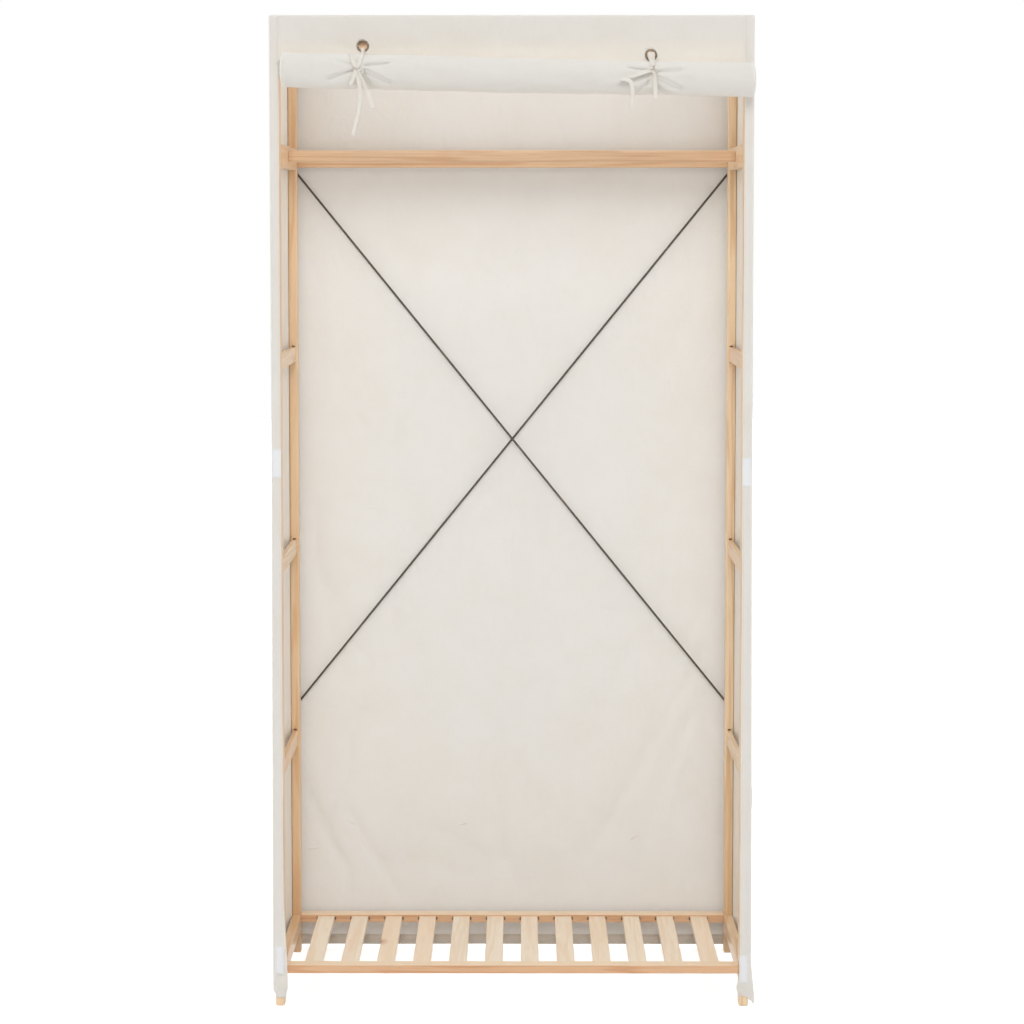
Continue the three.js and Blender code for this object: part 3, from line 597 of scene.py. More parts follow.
def side_surface(side, u, v):
    sign = -1 if side == "left" else 1
    inward, z = over_edge(v)
    z += hem_lift(side, u) * ease(v, 1.4, SIDE_FOOT)
    shift = corner_shift(side, z)
    if u <= STRIP_RUN:
        held = share(u, 0, STRIP_RUN)
        x = STRIP_INNER + u + shift * held - edge_shift(side, z) * (1 - held)
        y = FRONT_LAYER + ripple(z, u, 0.06, 0.0003) * share(u, 0, 0.004) + inward
        return Vector((sign * x, y, z))
    radius = CORNER - inward
    if u <= SIDE_START:
        angle = (u - STRIP_RUN) / CORNER
        return Vector((sign * (SIDE_LAYER - CORNER + radius * sin(angle) + shift),
                       FRONT_LAYER + CORNER - radius * cos(angle), z))
    run = min(u, SIDE_END) - SIDE_START
    across = run / SIDE_RUN
    down = v / SIDE_FOOT
    # The cloth lies flat on the posts and is free between them.
    still = sin(pi * share(run, POST_DEPTH, SIDE_RUN - POST_DEPTH - 0.010))
    out = broad_folds(1.5, 0.0066, across, down) * still
    out += creases(run, z, SIDE_CREASES[side]) * still * ease(v, 0, 0.05)
    out += (ripple(run + 3 * sign, z, 0.08, 0.0014) + ripple(run, z * 0.7, 0.03, 0.0004)) * still
    out += rumple(run, z, 6.5 * sign) * share(v, 0, 0.08) * share(still, 0, 0.25)
    # Its upper edge goes in under the back panel.
    under_back = ease(run, SIDE_RUN - 0.024, SIDE_RUN - 0.012)
    under_back *= 1 - share(v, LIP_RUN, LIP_RUN + 0.01)
    return Vector((sign * (SIDE_LAYER - inward + max(0, out) + shift * (1 - ease(run, 0, 0.2))),
                   FRONT_LAYER + CORNER + run, z - CLOTH * under_back))


def side_panel(side):
    across = spaced(0, (STRIP_RUN, 6), (SIDE_START, 5), (SIDE_END, 66))
    down = LIP_ROWS[:-1] + spaced(LIP_RUN, (1.55, 120), (SIDE_FOOT - HEM, 20), (SIDE_FOOT, 6))
    sign = -1 if side == "left" else 1

    def place(u, v):
        turn = ease(u, STRIP_RUN, SIDE_START)
        inward = Vector((-sign * turn, 1 - turn, 0))
        return turned_up(lambda at: side_surface(side, u, at), v, SIDE_FOOT, inward)

    return cloth_sheet(f"side_panel_{side}", across, down + hem_rows(SIDE_FOOT), place)


# The valance, whose ends are sewn over the edges of the side panels
VALANCE_HALF = STRIP_INNER + 0.003
VALANCE_SEAM = VALANCE_HALF - 0.0022
VALANCE_HOLE = 0.0084  # radius of its hole at an eyelet
VALANCE_ROWS = 22
VALANCE_CREASES = [
    (-0.30, 1.652, -0.262, 1.640, 0.006, -0.0009), (-0.238, 1.641, -0.16, 1.650, 0.006, -0.0009),
    (0.16, 1.630, 0.222, 1.628, 0.006, -0.0008), (0.246, 1.626, 0.34, 1.640, 0.007, -0.0009),
    (-0.39, 1.690, -0.26, 1.676, 0.008, -0.0008), (0.385, 1.690, 0.30, 1.640, 0.008, -0.0008),
    (-0.05, 1.640, 0.08, 1.652, 0.010, -0.0006),
]


def valance_surface(u, v):
    inward, z = over_edge(v)
    near_eyelet = max(bump(hypot(u - eyelet.x, z - eyelet.z), 0.016) for eyelet in EYELETS.values())
    loose = ease(v, 0.004, 0.03) * (1 - ease(abs(u), 0.36, 0.39)) * (1 - near_eyelet)
    back = max(0, ripple(u, z, 0.05, 0.0006) - creases(u, z, VALANCE_CREASES)) * loose
    lap = CLOTH * 1.05 * ease(abs(u), STRIP_INNER - 0.004, STRIP_INNER - 0.0005)
    return Vector((u, FRONT_LAYER + inward + back - lap, z))


def valance_foot(u):
    return fall(roll_height(u) + 0.014)


def valance():
    inner = STRIP_INNER - 0.005
    ends = steps(inner, VALANCE_HALF, 6)
    across = [-u for u in reversed(ends)] + steps(-inner, inner, 198)[1:-1] + ends

    def place(u, row):
        if row < len(LIP_ROWS):
            return u, LIP_ROWS[row]
        done = (row - len(LIP_ROWS) + 1) / (VALANCE_ROWS - len(LIP_ROWS) + 1)
        return u, LIP_RUN + (valance_foot(u) - LIP_RUN) * done

    uvs = [place(u, row) for row in range(VALANCE_ROWS + 1) for u in across]
    points = [valance_surface(u, v) for u, v in uvs]
    piece = new_piece("valance", points, grid_faces(VALANCE_ROWS + 1, len(across)), uvs)
    bm = bmesh.new()
    bm.from_mesh(piece.data)
    # A round hole is let in at each eyelet: the mesh near it is drawn out to the hole's edge.
    for eyelet in EYELETS.values():
        def distance(point, eyelet=eyelet):
            return hypot(point.x - eyelet.x, point.z - eyelet.z)

        inside = [face for face in bm.faces if distance(face.calc_center_median()) < VALANCE_HOLE]
        bmesh.ops.delete(bm, geom=inside, context="FACES")
        for vert in bm.verts:
            if vert.is_boundary and distance(vert.co) < VALANCE_HOLE * 2:
                away = Vector((vert.co.x - eyelet.x, 0, vert.co.z - eyelet.z)).normalized()
                vert.co = Vector((eyelet.x, vert.co.y, eyelet.z)) + away * VALANCE_HOLE
    bm.to_mesh(piece.data)
    bm.free()
    return thicken(piece)


# The top lies on the rails, with its edges under those of the panels.
TOP_HALF = SIDE_LAYER - LIP - LIP_LAP / 2
TOP_FRONT = FRONT_LAYER + LIP + LIP_LAP / 2
TOP_BACK = BACK_LAYER - LIP - LIP_LAP / 2


def top_surface(u, v):
    """The top sags a little between the rails; v is the distance from its front edge."""
    middle = (TOP_BACK - TOP_FRONT) / 2
    sag = max(0, 1 - (u / OPENING_HALF) ** 2) * max(0, 1 - ((v - middle) / (middle - 0.03)) ** 2)
    uneven = ripple(u, v, 0.10, 0.0012) + ripple(u, v, 0.035, 0.0004) - 0.0006
    z = TOP_LAYER - CLOTH * 0.95 - 0.0045 * sag + uneven * min(1, sag * 6)
    return Vector((u, TOP_FRONT + v, z))


def cover_top():
    return cloth_sheet("cover_top_panel", steps(-TOP_HALF, TOP_HALF, 110),
                       steps(0, TOP_BACK - TOP_FRONT, 56), top_surface)


# The flap: a short sheet sewn behind the foot of the valance, then the whole flap wound up
SHEET_RISE = 0.022  # how far its edges are above and below the height of the roll
SHEET_DROP = 0.006
SHEET_HELD = 0.0135  # the weave is laid out as if the sheet were drawn out between this height and the next
SHEET_LED = -0.0045
LOWERED = 1.52  # how far the roll goes down


def flap_sheet():
    layer = (low("flap_sheet").y + high("flap_sheet").y) / 2
    across = steps(ROLL_LEFT, ROLL_RIGHT, 90)
    down = steps(0, SHEET_RISE + SHEET_DROP, 40)
    points = [Vector((u, layer + ripple(u, 0, 0.05, 0.0003), roll_height(u) + SHEET_RISE - v))
              for v in down for u in across]
    # The weave is laid out for the lowered flap, because the sheet is out of sight when rolled up.
    uvs = [(u, v * LOWERED / (SHEET_HELD - SHEET_LED)) for v in down for u in across]
    return thicken(new_piece("flap_sheet_cloth", points, grid_faces(len(down), len(across)), uvs))


ROLL_START = ROLL_LEFT + 0.008
ROLL_END = ROLL_RIGHT - 0.003
ROLL_TURNS = 13
ROLL_PITCH = 0.0019
ROLL_CLOTH = 0.0008  # its thickness, so that the turns stay apart
ROLL_DEPTH_SHARE = 1.06  # the roll is a little deeper than it is high
ROLL_HEM = 0.008
# Furrows and folds beside a tie, as distances along the roll and up from its front
TIE_CREASES = [
    (-0.004, 0.004, -0.056, -0.016, 0.0042, -0.0030),
    (-0.004, 0.010, -0.046, 0.020, 0.0040, -0.0022),
    (-0.004, -0.004, -0.030, -0.036, 0.0040, -0.0026),
    (0.004, 0.002, 0.050, -0.022, 0.0042, -0.0030),
    (0.004, 0.010, 0.052, 0.018, 0.0040, -0.0022),
    (0.003, -0.006, 0.024, -0.040, 0.0040, -0.0026),
    (-0.020, -0.010, -0.050, -0.030, 0.0060, 0.0012),
    (0.018, -0.016, 0.046, -0.036, 0.0060, 0.0012),
]
ROLL_PINCH = 0.0014  # how far a tie draws the roll in


def roll_radius(x):
    """Outer radius of the roll, drawn in where it is tied."""
    radius = ROLL_RADIUS
    for tie in (LEFT_TIE_X, RIGHT_TIE_X):
        radius -= ROLL_PINCH * bump(x - tie, 0.018)
    return radius


def roll_place(x, turns):
    """A point of the wound cloth. It starts at the back of the roll, goes down and forward and
    comes nearer to the middle with each turn."""
    angle = 2 * pi * turns
    outer = roll_radius(x)
    radius = outer - ROLL_PITCH * turns
    radius += 0.0005 * sin(2 * angle + x * 9) + 0.0003 * sin(5 * angle + x * 31)
    if turns < 1.25:
        up = (angle % (2 * pi) - pi) * outer
        calm = 1 - ease(turns, 1, 1.2)
        for tie in (LEFT_TIE_X, RIGHT_TIE_X):
            if abs(x - tie) < 0.08:
                radius += creases(x - tie, up, TIE_CREASES) * calm
        radius += ripple(x, up, 0.05, 0.0012) * calm
    # The hems at the ends are thicker, and the ends are rounded over.
    to_end = min(x - ROLL_START, ROLL_END - x)
    radius += 0.0006 * (1 - ease(to_end, ROLL_HEM - 0.001, ROLL_HEM))
    past = 1 - share(to_end, 0, 0.010)
    radius *= 1 - 0.26 * (1 - sqrt(1 - past * past))
    middle = ROLL_BACK - outer * ROLL_DEPTH_SHARE
    lift = 0.0045 + 0.0012 * share(x, 0.30, ROLL_END) - 0.0006 * bump(x, 0.12)
    # The turns don't lie quite even at the ends.
    side = share(x, ROLL_END - 0.05, ROLL_END) - share(-x, -ROLL_START - 0.05, -ROLL_START)
    uneven = 0.0015 * sin(turns * 2.3) + 0.001 * sin(turns * 5.1) - 0.0016
    shift = uneven * side * share(turns, 0.2, 1)
    return Vector((x + shift, middle + radius * ROLL_DEPTH_SHARE * cos(angle),
                   roll_height(x) + lift - radius * sin(angle)))


def flap_roll():
    near_end = 0.014
    near_tie = 0.062
    xs = spaced(ROLL_START, (ROLL_START + near_end, 8), (LEFT_TIE_X - near_tie, 8),
                (LEFT_TIE_X + near_tie, 38), (RIGHT_TIE_X - near_tie, 20),
                (RIGHT_TIE_X + near_tie, 38), (ROLL_END - near_end, 8), (ROLL_END, 8))
    turns = spaced(0, (1.25, 84), (ROLL_TURNS, 216))
    points = [roll_place(x, turn) for turn in turns for x in xs]
    uvs = [(x, turn * 2 * pi * (ROLL_RADIUS - ROLL_PITCH * turn / 2)) for turn in turns for x in xs]
    faces = grid_faces(len(turns), len(xs))
    return thicken(new_piece("flap_roll_cloth", points, faces, uvs), ROLL_CLOTH)


back_piece = back_panel()
side_pieces = {side: side_panel(side) for side in ("left", "right")}
valance_piece = valance()
top_piece = cover_top()
sheet_piece = flap_sheet()
roll_piece = flap_roll()


# Stitches: one stitch is modelled, and copied along every seam
def stitch_shape():
    bpy.ops.object.select_all(action="DESELECT")
    bpy.ops.mesh.primitive_uv_sphere_add(segments=6, ring_count=4, radius=0.5,
                                         scale=(STITCH_LENGTH, STITCH_THICKNESS, STITCH_THICKNESS))
    stitch = bpy.context.object
    shape = ([vert.co.copy() for vert in stitch.data.vertices],
             [tuple(polygon.vertices) for polygon in stitch.data.polygons])
    bpy.data.objects.remove(stitch)
    return shape


STITCH_POINTS, STITCH_FACES = stitch_shape()


def sew(points, faces, line, out):
    """Adds stitches along a line of points on cloth that faces the way out."""
    run = 0
    due = STITCH_PITCH / 2
    for start, end in zip(line, line[1:]):
        span = (end - start).length
        while span and run + span >= due:
            middle = start.lerp(end, (due - run) / span)
            along = (end - start).normalized()
            side = out.cross(along).normalized()
            turned = Matrix((along, side, along.cross(side))).transposed()
            first = len(points)
            points.extend(middle + turned @ point for point in STITCH_POINTS)
            faces.extend(tuple(first + corner for corner in face) for face in STITCH_FACES)
            due += STITCH_PITCH
        run += span


def sew_cover():
    """All the visible rows of stitches of the cover, just proud of the cloth."""
    points, faces = [], []
    lift = CLOTH / 2 + 0.0001
    front, back, up = Vector((0, -1, 0)), Vector((0, 1, 0)), Vector((0, 0, 1))

    def row(line, way, proud=lift):
        sew(points, faces, [point + way * proud for point in line], way)

    back_half = 0.395
    back_hem = BACK_FOOT - HEM + HEM_SEAM
    line = [back_surface(u, back_hem) for u in steps(-back_half, back_half, 200)]
    row(line, back)
    row(line, front, lift + HEM_INSIDE)
    strip_seam = 0.0022  # how far in from its free edge a front strip is sewn
    below_valance = 0.105
    for side, sign in (("left", -1), ("right", 1)):
        outward = Vector((sign, 0, 0))
        hem = SIDE_FOOT - HEM + HEM_SEAM
        row([side_surface(side, u, hem) for u in steps(SIDE_START, SIDE_END, 90)], outward)
        row([side_surface(side, u, hem) for u in steps(0.001, STRIP_RUN, 4)], front)
        row([side_surface(side, strip_seam, v)
             for v in steps(below_valance, SIDE_FOOT - 0.002, 160)], front)
        seam = sign * VALANCE_SEAM
        row([valance_surface(seam, v) for v in steps(LIP_RUN, valance_foot(seam), 20)], front)
        row([Vector((sign * BACK_HALF, BACK_LAYER - CORNER - 0.0025, z))
             for z in steps(TOP_LAYER - 0.008, BACK_FLOOR + 0.004, 200)], outward)
    inset = LIP_LAP / 2 + 0.002
    x, front_v, back_v = TOP_HALF - inset, inset, TOP_BACK - TOP_FRONT - inset
    corners = [(-x, front_v), (x, front_v), (x, back_v), (-x, back_v), (-x, front_v)]
    for (u1, v1), (u2, v2) in zip(corners, corners[1:]):
        row([top_surface(u1 + (u2 - u1) * part, v1 + (v2 - v1) * part)
             for part in steps(0, 1, 100)], up)
    return new_piece("cover_stitches", points, faces)


stitch_piece = sew_cover()


# Eyelets: a profile spun round the middle of the hole
EYELET_BARREL = 0.0072  # radius of the hole
EYELET_RIM = 0.0105
EYELET_HALF = 0.00095  # half the thickness of what it grips
EYELET_STEPS = 40


def eyelet(side):
    node = f"eyelet_{side}"
    centre = EYELETS[side]
    # One side of the ring, from its barrel over the rim and in under it, and the other side alike
    front = [(EYELET_BARREL, 0), (EYELET_BARREL + 0.0003, 0.0009), (EYELET_BARREL + 0.0012, 0.0014),
             (EYELET_RIM - 0.0012, 0.0013), (EYELET_RIM - 0.0003, 0.0008), (EYELET_RIM, 0.0001),
             (EYELET_RIM - 0.0004, -0.0002), (EYELET_BARREL + 0.0009, -0.0003)]
    profile = [(radius, -EYELET_HALF - proud) for radius, proud in front]
    profile += [(radius, EYELET_HALF + proud) for radius, proud in reversed(front)]
    mesh = bpy.data.meshes.new(f"{node}_ring")
    corners = [(centre.x + radius, centre.y + y, centre.z) for radius, y in profile]
    edges = [(index, (index + 1) % len(corners)) for index in range(len(corners))]
    mesh.from_pydata(corners, edges, [])
    piece = bpy.data.objects.new(f"{node}_ring", mesh)
    bpy.context.scene.collection.objects.link(piece)
    only(piece)
    bpy.ops.object.mode_set(mode="EDIT")
    bpy.ops.mesh.select_all(action="SELECT")
    bpy.ops.mesh.spin(steps=EYELET_STEPS, angle=2 * pi, center=tuple(centre), axis=(0, 1, 0))
    bpy.ops.mesh.select_all(action="SELECT")
    bpy.ops.mesh.remove_doubles(threshold=0.00001)
    bpy.ops.mesh.normals_make_consistent(inside=False)
    bpy.ops.object.mode_set(mode="OBJECT")
    piece.data.shade_smooth()
    return piece


# Hook-and-loop patches: a thin pad with a pressed border and its row of stitches
def hook_patch(node):
    corner_low, corner_high = low(node), high(node)
    size = corner_high - corner_low
    bpy.ops.object.select_all(action="DESELECT")
    bpy.ops.mesh.primitive_cube_add(size=1, location=(corner_low + corner_high) / 2, scale=size)
    piece = bpy.context.object
    piece.name = piece.data.name = f"{node}_pad"
    bpy.ops.object.transform_apply(location=True, rotation=False, scale=False)
    bpy.ops.object.mode_set(mode="EDIT")
    bpy.ops.mesh.select_all(action="SELECT")
    bpy.ops.mesh.bevel(offset=0.0003, segments=2)
    bpy.ops.mesh.select_all(action="DESELECT")
    bm = bmesh.from_edit_mesh(piece.data)
    front = min(bm.faces, key=lambda face: face.calc_center_median().y - face.calc_area())
    front.select = True
    bmesh.update_edit_mesh(piece.data)
    # The border, the groove that is pressed inside it, and the rise to the pile
    bpy.ops.mesh.inset(thickness=0.0012, depth=0)
    bpy.ops.mesh.inset(thickness=0.0007, depth=-0.00035)
    bpy.ops.mesh.inset(thickness=0.0007, depth=0.00045)
    bpy.ops.object.mode_set(mode="OBJECT")
    only(piece)
    bpy.ops.object.shade_smooth_by_angle(angle=radians(30))
    return piece


def patch_stitches(nodes):
    """A row of stitches in the groove of each patch."""
    points, faces = [], []
    way = Vector((0, -1, 0))
    inset = 0.0016
    for node in nodes:
        y = low(node).y + 0.0001
        left, right = low(node).x + inset, high(node).x - inset
        foot, head = low(node).z + inset, high(node).z - inset
        corners = ((left, foot), (right, foot), (right, head), (left, head), (left, foot))
        sew(points, faces, [Vector((x, y, z)) for x, z in corners], way)
    return new_piece("patch_stitches", points, faces)


eyelet_pieces = {side: eyelet(side) for side in ("left", "right")}
PATCHES = [f"hook_patch_{level}_{side}" for side in ("left", "right")
           for level in ("middle", "lower")]
patch_pieces = {node: hook_patch(node) for node in PATCHES}
patch_thread = patch_stitches(PATCHES)


# Finishes
class Nodes:
    """The shader nodes of a material or of the world."""

    def __init__(self, owner):
        owner.use_nodes = True
        self.tree = owner.node_tree

    def give(self, node, inputs):
        """Sets inputs by name or number, to a value or to another node's output."""
        for name, value in inputs.items():
            if isinstance(value, bpy.types.NodeSocket):
                self.tree.links.new(value, node.inputs[name])
            else:
                node.inputs[name].default_value = value

    def node(self, kind, settings=None, **inputs):
        """Adds a node. _0 stands for its first input, and so on."""
        node = self.tree.nodes.new(f"ShaderNode{kind}")
        for name, value in (settings or {}).items():
            setattr(node, name, value)
        self.give(node, {int(name[1:]) if name[0] == "_" else name.replace("_", " "): value
                         for name, value in inputs.items()})
        return node


class Finish(Nodes):
    """A material whose shader gets its inputs by name."""

    def __init__(self, name, **inputs):
        self.material = bpy.data.materials.new(name)
        super().__init__(self.material)
        self.shader = self.tree.nodes["Principled BSDF"]
        self.set(**inputs)

    def set(self, **inputs):
        self.give(self.shader, {name.replace("_", " "): value for name, value in inputs.items()})

    def math(self, operation, first, second=0.0, third=0.0):
        return self.node("Math", {"operation": operation}, _0=first, _1=second, _2=third).outputs[0]

    def vector(self, source="Object", scale=(1, 1, 1), move=(0, 0, 0)):
        """Coordinates in metres, multiplied by scale."""
        coordinates = self.node("TexCoord").outputs[source]
        return self.node("Mapping", Vector=coordinates, Scale=scale, Location=move).outputs[0]

    def times(self, vector, factors):
        return self.node("VectorMath", {"operation": "MULTIPLY"}, _0=vector, _1=factors).outputs[0]

    def noise(self, vector, scale=1.0, detail=2.0, roughness=0.5, distortion=0.0):
        return self.node("TexNoise", Vector=vector, Scale=scale, Detail=detail,
                         Roughness=roughness, Distortion=distortion).outputs["Fac"]

    def between(self, value, start, end, low_value=0.0, high_value=1.0):
        return self.node("MapRange", {"interpolation_type": "SMOOTHSTEP"}, _0=value, _1=start,
                         _2=end, _3=low_value, _4=high_value).outputs[0]

    def mix(self, amount, first, second):
        return self.node("Mix", {"data_type": "RGBA"}, _0=amount, _6=first, _7=second).outputs[2]

    def relief(self, *layers):
        """Bumps of several heights, each given as (height, distance)."""
        normal = None
        for height, distance in layers:
            inputs = {"Height": height, "Distance": distance, "Strength": 1.0}
            if normal is not None:
                inputs["Normal"] = normal
            normal = self.node("Bump", **inputs).outputs[0]
        self.set(Normal=normal)


def srgb(red, green, blue):
    """A colour as linear light from its display values, 0 to 255."""
    def linear(value):
        value /= 255
        return value / 12.92 if value <= 0.04045 else ((value + 0.055) / 1.055) ** 2.4
    return (linear(red), linear(green), linear(blue), 1)


def weave(finish, source="UV", pitch=0.0007):
    """Plain weave: the height of threads that pass over and under each other."""
    coordinates = finish.vector(source)
    wander = finish.noise(coordinates, 90, 2)
    parts = finish.node("SeparateXYZ", Vector=coordinates)
    waves = []
    for axis in (0, 1):
        moved = finish.math("MULTIPLY_ADD", wander, 0.0006, parts.outputs[axis])
        waves.append(finish.math("SINE", finish.math("MULTIPLY", moved, pi / pitch)))
    return finish.math("MULTIPLY", waves[0], waves[1])


def canvas(name, light, dark, hem=None, puckers=()):
    """Unbleached cotton canvas with slubs, soft wrinkles and a dry matt face. hem is the height
    of the top of the hem. A pucker is a short pinched fold at x, z, with its width and turn."""
    finish = Finish(name, Roughness=0.92, Specular_IOR_Level=0.2, Sheen_Weight=0.12,
                    Sheen_Roughness=0.6)
    # Some of the light passes through the cloth.
    finish.set(Subsurface_Weight=0.5, Subsurface_Radius=(1, 0.98, 0.94), Subsurface_Scale=0.003)
    cloth = finish.vector("UV")
    patches = finish.noise(cloth, 9, 4, 0.6)
    colour = finish.mix(finish.between(patches, 0.3, 0.75), light, dark)
    warp = finish.noise(finish.vector("UV", (900, 26, 1)), 1, 2)
    weft = finish.noise(finish.vector("UV", (22, 900, 1)), 1, 2)
    slubs = finish.math("ADD", finish.between(warp, 0.62, 0.78), finish.between(weft, 0.62, 0.78))
    colour = finish.mix(finish.math("MULTIPLY", slubs, 0.10), colour, srgb(208, 196, 178))
    flecks = finish.noise(cloth, 420, 1)
    colour = finish.mix(finish.between(flecks, 0.70, 0.80, 0, 0.25), colour, srgb(196, 178, 152))
    if hem:
        # The doubled cloth of the hem lets less light through.
        height = finish.node("SeparateXYZ", Vector=finish.vector("Object")).outputs[2]
        band = finish.between(height, hem + 0.0005, hem - 0.0005)
        colour = finish.mix(finish.math("MULTIPLY", band, 0.5), colour, srgb(222, 204, 180))
    finish.set(Base_Color=colour)
    pinched = 0.0
    for x, z, width, turn in puckers:
        where = finish.node("VectorMath", {"operation": "MULTIPLY_ADD"}, _0=finish.vector("Object"),
                            _1=(1, 0, 1), _2=(-x, 0, -z)).outputs[0]
        turned = finish.node("VectorRotate", {"rotation_type": "Y_AXIS"}, Vector=where,
                             Angle=radians(turn)).outputs[0]
        narrow = finish.times(turned, (1, 0, 3.5))
        off = finish.node("VectorMath", {"operation": "LENGTH"}, _0=narrow).outputs["Value"]
        pinched = finish.math("ADD", finish.between(off, 0, width, 1, 0), pinched)
    threads = weave(finish)
    wrinkles = finish.noise(finish.vector("UV", (1, 0.55, 1)), 26, 3, 0.55, 0.6)
    finish.relief((wrinkles, 0.0022), (pinched, 0.0012), (slubs, 0.00008), (threads, 0.00010))
    finish.set(Roughness=finish.between(threads, -1, 1, 0.96, 0.86))
    return finish.material


def cotton_tape():
    """Soft cotton tape: fine ribs across it, threads along it and an uneven tone."""
    finish = Finish("cotton_tape", Roughness=0.95, Sheen_Weight=0.15, Specular_IOR_Level=0.2)
    tape = finish.vector("UV")
    tone = finish.noise(tape, 70, 2)
    finish.set(Base_Color=finish.mix(tone, srgb(250, 246, 238), srgb(240, 232, 220)))
    parts = finish.node("SeparateXYZ", Vector=tape)
    ribs = finish.math("SINE", finish.math("MULTIPLY", parts.outputs[1], 2 * pi / 0.0011))
    threads = finish.math("SINE", finish.math("MULTIPLY", parts.outputs[0], 2 * pi / 0.0009))
    finish.relief((ribs, 0.00012), (threads, 0.00006))
    return finish.material


GRAIN_ALONG = {"x": (1, 22, 22), "y": (22, 1, 22), "z": (22, 22, 1)}


def pine(name, axis, board, light=(244, 217, 181), dark=(226, 186, 139), ruddy=0.5, painted_light_above=None):
    """Pale pine with its grain along one axis. board is the size of the cells in which one
    board keeps its own tint. The upper face of a rail, above the height given last, is
    painted paler: painted light from above."""

    def tinted(red, green, blue):
        return srgb(*(value * part for value, part in zip(dark, (red, green, blue))))

    finish = Finish(name, Roughness=0.52, Coat_Weight=0.7, Coat_Roughness=0.28)
    across = GRAIN_ALONG[axis]
    where = finish.vector("Object")
    cell = finish.node("VectorMath", {"operation": "SNAP"}, _0=finish.vector("Object", move=board[1]),
                       _1=board[0]).outputs[0]
    tint = finish.node("TexWhiteNoise", {"noise_dimensions": "3D"}, Vector=cell)
    moved = finish.node("VectorMath", {"operation": "MULTIPLY_ADD"}, _0=tint.outputs["Color"],
                        _1=(3, 3, 3), _2=where).outputs[0]
    stretched = finish.times(moved, across)
    figure = finish.noise(stretched, 1.0, 3, 0.5, 0.25)
    rings = finish.math("SINE", finish.math("MULTIPLY", figure, 46))
    fibres = finish.noise(finish.times(stretched, (12, 12, 12)), 1, 3, 0.6)
    colour = finish.mix(finish.between(rings, -0.2, 1.0, 0, 0.75), srgb(*light), srgb(*dark))
    colour = finish.mix(finish.between(fibres, 0.45, 0.75, 0, 0.35), colour, tinted(0.95, 0.92, 0.91))
    colour = finish.mix(finish.between(tint.outputs["Value"], 0.45, 1, 0, ruddy), colour,
                        tinted(1.03, 1, 0.98))
    broad = finish.noise(finish.times(stretched, (0.35, 0.35, 0.35)), 1, 2)
    colour = finish.mix(finish.between(broad, 0.5, 0.75, 0, 0.5), colour, tinted(1.01, 0.96, 0.96))
    # Painted light: the upper face of a rail is painted paler, as if lit from above.
    if painted_light_above:
        height = finish.node("SeparateXYZ", Vector=where).outputs[2]
        upper = finish.between(height, painted_light_above - 0.0006, painted_light_above - 0.0002)
        colour = finish.mix(upper, colour, srgb(248, 222, 188))
    # Knots: a dark eye in a few of the cells, with the grain darker round it
    spread = [8 if step > 1 else 5 for step in across]
    cells = finish.node("TexVoronoi", Vector=finish.times(moved, spread), Scale=1.0)
    pick = finish.node("SeparateColor", Color=cells.outputs["Color"]).outputs[0]
    chosen = finish.between(pick, 0.62, 0.66)
    away = cells.outputs["Distance"]
    eye = finish.math("MULTIPLY", finish.between(away, 0.030, 0.060, 1, 0), chosen)
    halo = finish.math("MULTIPLY", finish.between(away, 0.05, 0.16, 0.7, 0), chosen)
    colour = finish.mix(halo, colour, srgb(206, 152, 102))
    colour = finish.mix(eye, colour, srgb(142, 92, 58))
    finish.set(Base_Color=colour)
    finish.relief((fibres, 0.00025), (rings, 0.00006))
    finish.set(Roughness=finish.between(fibres, 0.2, 0.8, 0.46, 0.62))
    return finish.material


def rod_steel():
    """Dark painted steel with a fine orange-peel face and rubbed places."""
    finish = Finish("rod_steel", Roughness=0.42, Metallic=0.35)
    speckle = finish.noise(finish.vector("Object"), 900, 2)
    rubbed = finish.noise(finish.vector("Object"), 22, 3)
    worn = finish.between(rubbed, 0.55, 0.75, 0, 0.6)
    finish.set(Base_Color=finish.mix(worn, srgb(86, 81, 75), srgb(120, 113, 104)))
    finish.relief((speckle, 0.00006))
    finish.set(Roughness=finish.between(rubbed, 0.3, 0.8, 0.5, 0.34))
    return finish.material


def eyelet_metal():
    """Antique brass: bronze brown, brighter where it is rubbed."""
    finish = Finish("eyelet_metal", Roughness=0.34, Metallic=0.85)
    tone = finish.noise(finish.vector("Object"), 260, 3)
    worn = finish.between(tone, 0.4, 0.7)
    finish.set(Base_Color=finish.mix(worn, srgb(118, 106, 92), srgb(164, 150, 132)))
    finish.relief((finish.noise(finish.vector("Object"), 1500, 2), 0.00004))
    return finish.material


def hook_tape():
    """Nylon loop tape: a short dense pile, cooler and whiter than the canvas."""
    finish = Finish("hook_tape", Roughness=0.9, Sheen_Weight=0.3)
    loops = finish.node("TexVoronoi", Vector=finish.vector("Object", (1400, 1400, 1400)),
                        Scale=1.0).outputs["Distance"]
    pile = finish.noise(finish.vector("Object"), 500, 2)
    finish.set(Base_Color=finish.mix(pile, srgb(249, 249, 249), srgb(240, 240, 242)))
    finish.relief((loops, 0.00035), (pile, 0.0003))
    return finish.material


def sewing_thread():
    """Two-tone thread with the slant of its twist."""
    finish = Finish("sewing_thread", Roughness=0.8, Sheen_Weight=0.2)
    ply = finish.node("TexWave", {"wave_type": "BANDS", "bands_direction": "DIAGONAL"},
                      Vector=finish.vector("Object", (1500, 1500, 1500)), Scale=1.0).outputs["Fac"]
    finish.set(Base_Color=finish.mix(ply, srgb(214, 203, 186), srgb(240, 232, 219)))
    finish.relief((ply, 0.0001))
    return finish.material
